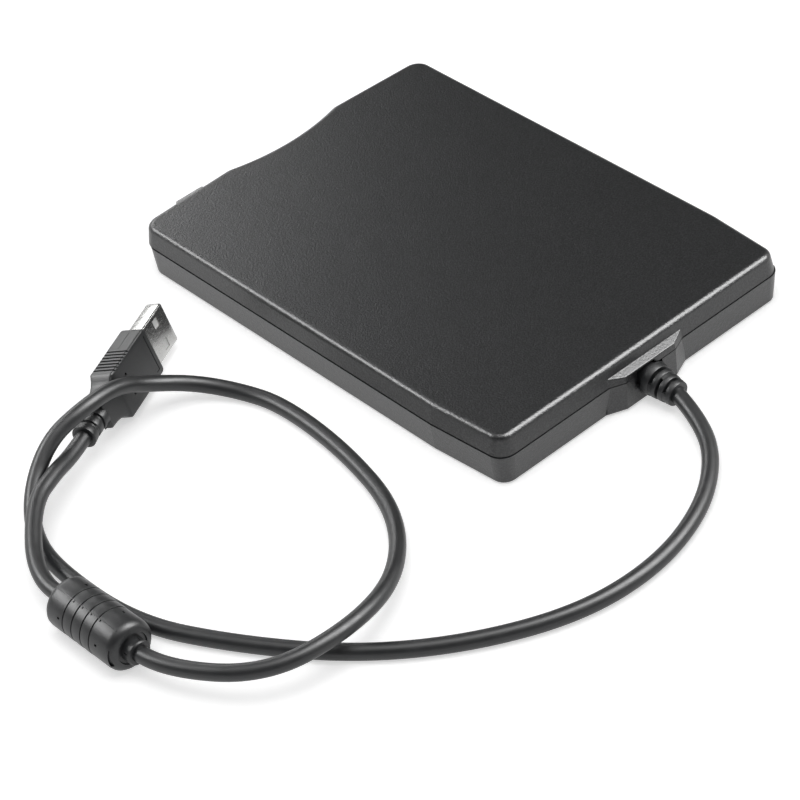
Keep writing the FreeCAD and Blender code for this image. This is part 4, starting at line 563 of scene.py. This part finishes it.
def ferrite_shell():
    """Two moulded halves' worth of barrel: grooves, gate marks, pits and stepped collars."""
    outline = [(-15.2, 2.2), (-15.2, 2.9), (-14.9, 3.3), (-12.6, 3.3), (-12.6, 5.3), (-12.2, 6.2),
               (-11.6, 6.6), (-10.9, 6.7)]
    for start in GROOVES:
        outline += [(start - 1.4, 6.74), (start - 0.05, 6.68), (start, 6.62), (start + 0.03, 6.38),
                    (start + 0.27, 6.38), (start + 0.3, 6.6), (start + 0.36, 6.66)]
    outline += [(10.2, 6.7), (11.3, 6.5), (12.1, 5.9), (12.5, 5.1), (12.6, 4.3), (12.2, 4.1),
                (12.2, 3.3), (14.9, 3.3), (15.2, 3.0), (15.2, 2.2), (9.9, 2.4), (9.9, 5.2),
                (-9.9, 5.2), (-9.9, 2.4)]
    barrel = turned(outline)
    slice_across(barrel, "x", (-7.5, -6.7, 6.5, 7.3, 13.2, 14.5, -14.5, -13.2))
    slice_across(barrel, "x", [start + edge for start in GROOVES for edge in (0.9, 1.3)])
    for middle, turn in ((x, t) for x in (-7.1, 6.9) for t in (72, -28, -108, 152)):
        sink(barrel, lambda spot: abs(spot.x - middle) < 0.35 and spot.yz.length > 6
             and turn_between(spot, turn) < PIT_REACH, 0.08, 0.5)
    for start in GROOVES:
        sink(barrel, lambda spot: abs(spot.x - start - 1.1) < 0.15 and spot.yz.length > 6
             and abs(angle_about_x(spot) - 22.5) < 2, 0.03, 0.3)
    for middle, turn in ((x, t) for x in (-13.85, 13.85) for t in (-22.5, 67.5, 157.5, -112.5)):
        sink(barrel, lambda spot: abs(spot.x - middle) < 0.5 and 3.0 < spot.yz.length < 3.5
             and turn_between(spot, turn) < PIT_REACH, 0.02, 0.5)
    sink(barrel, lambda spot: 11.4 < spot.x < 12.1 and 65 < angle_about_x(spot) < 108
         and spot.yz.length > 5.8, 0.08, 0.6)
    seam = ridge((-11.4, -0.09, 6.5), (10.9, 0.09, 6.77))
    seam_turn = Matrix.Rotation(math.radians(20), 3, "X")
    bmesh.ops.rotate(seam, verts=seam.verts[:], cent=(0, 0, 0), matrix=seam_turn)
    return [barrel, seam]


# ---------------------------------------------------------------- plug

PLUG_PLACE = (Matrix.Translation((96.8, -22.3, 7.83)) @ Matrix.Rotation(math.radians(206.57), 4, "Z")
              @ Matrix.Rotation(math.radians(-16), 4, "X"))
RIB_FIRST, RIB_PITCH, RIB_WIDTH, RIB_DEPTH = 1.3, 1.3, 0.55, 0.34
SHEET_THICK = 0.33


def plug_grip():
    """The moulded grip: ribbed narrow sides, a groove behind the front rim and a hollowed neck."""
    stations = [(-8.2, 2.7, 3.9, 0.9), (-7.9, 2.95, 4.15, 0.9), (-5.2, 3.0, 4.3, 0.9),
                (-3.4, 3.05, 4.65, 0.8), (-2.2, 3.1, 5.2, 0.7), (-1.2, 3.15, 5.95, 0.6),
                (-0.6, 3.2, 6.7, 0.5), (-0.3, 3.25, 6.85, 0.45), (-0.1, 3.4, 7.0, 0.5),
                (0.3, 3.45, 7.1, 0.5), (18.2, 3.45, 7.1, 0.6), (18.7, 3.45, 6.98, 0.6),
                (19.05, 3.43, 6.72, 0.6), (19.25, 3.3, 6.4, 0.6), (19.3, 3.1, 6.1, 0.6)]
    grip = lofted(stations)
    ribs = [RIB_FIRST + RIB_PITCH * count for count in range(7)]
    slice_across(grip, "x", [start + edge for start in ribs for edge in (0.0, RIB_WIDTH)])
    slice_across(grip, "x", (4.45, 5.15, 16.1, 17.4, 17.7))
    slice_across(grip, "z", (-5.4, -5.15, -3.45, -2.75, 2.75, 3.45, 5.15, 5.4))
    slice_across(grip, "y", (-2.5, 2.5))
    for start in ribs:
        sink(grip, lambda spot: 0 < spot.x - start < RIB_WIDTH and spot.z > 6.65, 0.03, RIB_DEPTH)
        sink(grip, lambda spot: 0 < spot.x - start < RIB_WIDTH and spot.z < -7.05
             and abs(spot.y) < 2.5, 0.03, RIB_DEPTH)
    for side, up in ((s, z) for s in (-1, 1) for z in (-3.1, 3.1)):
        sink(grip, lambda spot: abs(spot.x - 4.8) < 0.3 and abs(spot.z - up) < 0.3
             and spot.y * side > 3.3, 0.1, 0.6)
    for side in (-1, 1):
        sink(grip, lambda spot: spot.y * side > 3.3 and (
             17.4 < spot.x < 17.7 and abs(spot.z) < 5.4
             or 16.1 < spot.x < 17.4 and -5.4 < spot.z < -5.15), 0.03, 0.3)
    seams = [ridge((10.5, -0.07, up - 0.06), (17.5, 0.07, up + 0.06)) for up in (-7.1, 7.1)]
    seams += [ridge((-8.0, -0.07, up - 0.4), (-4.8, 0.07, up + 0.08)) for up in (-4.15, 4.15)]
    relief = slotted_rings(((-16.5, -14.1), (-13.2, -11.0), (-10.1, -7.7)),
                           lambda along: 3.05 + 0.03 * (along + 12.0) ** 2 / 2,
                           ((90, 270), (0, 180)), 0.22)
    return [grip, *seams, *relief]


def steel_shell():
    """Folded sheet round the contacts, with latch windows and a dovetailed seam."""
    sheet = lofted(((19.1, 2.25, 6.0, 0.5), (30.9, 2.25, 6.0, 0.5), (31.15, 2.14, 5.89, 0.45)), False)
    windows = [(24.7, 27.1, side * 3.4 - 1.3, side * 3.4 + 1.3) for side in (-1, 1)]
    seam = [(19.0, 20.9, -0.04, 0.04), (20.82, 20.9, -0.04, 0.8), (20.82, 22.4, 0.72, 0.8),
            (22.32, 22.4, -0.04, 0.8), (22.32, 28.4, -0.04, 0.04), (28.32, 28.4, -0.8, 0.04),
            (28.32, 29.8, -0.8, -0.72), (29.72, 29.8, -0.8, 0.04), (29.72, 31.3, -0.04, 0.04)]
    slice_across(sheet, "x", sorted({place for hole in windows + seam for place in hole[:2]}))
    slice_across(sheet, "z", sorted({place for hole in windows + seam for place in hole[2:]}))

    def is_open(spot):
        holes = windows + seam if spot.y < 0 else windows
        return abs(spot.y) > 2.0 and any(low < spot.x < high and down < spot.z < up
                                         for low, high, down, up in holes)

    opened = [face for face in sheet.faces if is_open(face.calc_center_median())]
    bmesh.ops.delete(sheet, geom=opened, context="FACES")
    bmesh.ops.solidify(sheet, geom=sheet.faces[:], thickness=SHEET_THICK)
    bmesh.ops.recalc_face_normals(sheet, faces=sheet.faces[:])
    return sheet


def cord_pieces():
    """The strain relief, ferrite, grip and shell, each in place of its CAD node."""
    rear_strain_relief()
    finished("ferrite_shell", joined(ferrite_shell()), FERRITE_PLACE, MOULDED, "moulded_black",
             "ferrite_housing")
    finished("plug_grip", joined(plug_grip()), PLUG_PLACE, MOULDED, "moulded_black", "plug_body")
    finished("steel_shell", steel_shell(), PLUG_PLACE, NICKEL, "plug_steel", "plug_shell")


# ---------------------------------------------------------------- studio

FLOOR_GLOW = 0.5
CEILING = 0.1
SKY = 0.5
FLOOR_HALF = 4.0


def lamp(name, spot, aim, width, depth, power, on_gloss_only=False):
    """A softbox; one that works on gloss only draws highlights and adds no light."""
    data = bpy.data.lights.new(name, "AREA")
    data.shape = "RECTANGLE"
    data.size = width
    data.size_y = depth
    data.energy = power
    made = bpy.data.objects.new(name, data)
    made.location = spot
    made.rotation_euler = (Vector(aim) - Vector(spot)).to_track_quat("-Z", "Y").to_euler()
    made.visible_diffuse = not on_gloss_only
    bpy.context.collection.objects.link(made)


def seen_straight(tree, path):
    """1 for what the camera sees straight or through glass."""
    return maths(tree, "MAXIMUM", path.outputs["Is Camera Ray"], path.outputs["Is Transmission Ray"])


def studio_floor():
    """A pale floor that keeps the shadow and reads white to the camera and in reflections."""
    bed = bmesh.new()
    bmesh.ops.create_grid(bed, x_segments=1, y_segments=1, size=FLOOR_HALF)
    mesh = bpy.data.meshes.new("studio_floor")
    bed.to_mesh(mesh)
    bed.free()
    floor = bpy.data.objects.new("studio_floor", mesh)
    bpy.context.collection.objects.link(floor)
    made, tree, shader, _ = blank_material("pale_floor")
    shader.inputs["Base Color"].default_value = (0.86, 0.86, 0.86, 1)
    shader.inputs["Roughness"].default_value = 0.9
    shader.inputs["Specular IOR Level"].default_value = 0.1
    path = tree.nodes.new("ShaderNodeLightPath")
    seen = maths(tree, "MAXIMUM", seen_straight(tree, path), path.outputs["Is Glossy Ray"])
    glow = node(tree, "ShaderNodeEmission")
    wire(tree, maths(tree, "MULTIPLY", seen, FLOOR_GLOW), glow.inputs["Strength"])
    both = tree.nodes.new("ShaderNodeAddShader")
    wire(tree, shader.outputs["BSDF"], both.inputs[0])
    wire(tree, glow.outputs["Emission"], both.inputs[1])
    wire(tree, both.outputs["Shader"], tree.nodes["Material Output"].inputs["Surface"])
    mesh.materials.append(made)


def studio_world():
    """White backdrop near the horizon, and a dim ceiling for what the gloss picks up."""
    world = bpy.data.worlds.new("studio_world")
    bpy.context.scene.world = world
    world.use_nodes = True
    tree = world.node_tree
    background = tree.nodes["Background"]
    background.inputs["Color"].default_value = (1, 1, 1, 1)
    path = tree.nodes.new("ShaderNodeLightPath")
    parts = tree.nodes.new("ShaderNodeSeparateXYZ")
    wire(tree, tree.nodes.new("ShaderNodeTexCoord").outputs["Generated"], parts.inputs["Vector"])
    ceiling = spread(tree, parts.outputs["Z"], 0.02, 0.2, 1.0, CEILING)
    mirrored = maths(tree, "MULTIPLY", path.outputs["Is Glossy Ray"], ceiling)
    scattered = maths(tree, "MULTIPLY", path.outputs["Is Diffuse Ray"], SKY)
    unseen = maths(tree, "ADD", mirrored, scattered)
    wire(tree, maths(tree, "ADD", unseen, seen_straight(tree, path)), background.inputs["Strength"])


def light_studio():
    studio_floor()
    studio_world()
    lamp("overhead_softbox", (0.15, 0.1, 0.95), (0.05, 0.0, 0.0), 0.6, 0.6, 3.0)
    lamp("front_softbox", (-0.1, -0.72, 0.38), (0.02, -0.07, 0.0), 0.5, 0.25, 2.3, True)
    lamp("side_softbox", (0.52, -0.6, 0.6), (0.05, 0.0, 0.0), 0.6, 0.35, 8.5, True)
    lamp("rear_softbox", (-0.48, 0.42, 0.76), (0.0, 0.05, 0.0), 0.6, 0.9, 25.0, True)
    bpy.context.scene.view_settings.view_transform = "Standard"


# ---------------------------------------------------------------- making

add_camera()
cord = cord_curve()
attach(cord, "base")
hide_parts("cable")
cord_pieces()
finish_cad_nodes()
light_studio()
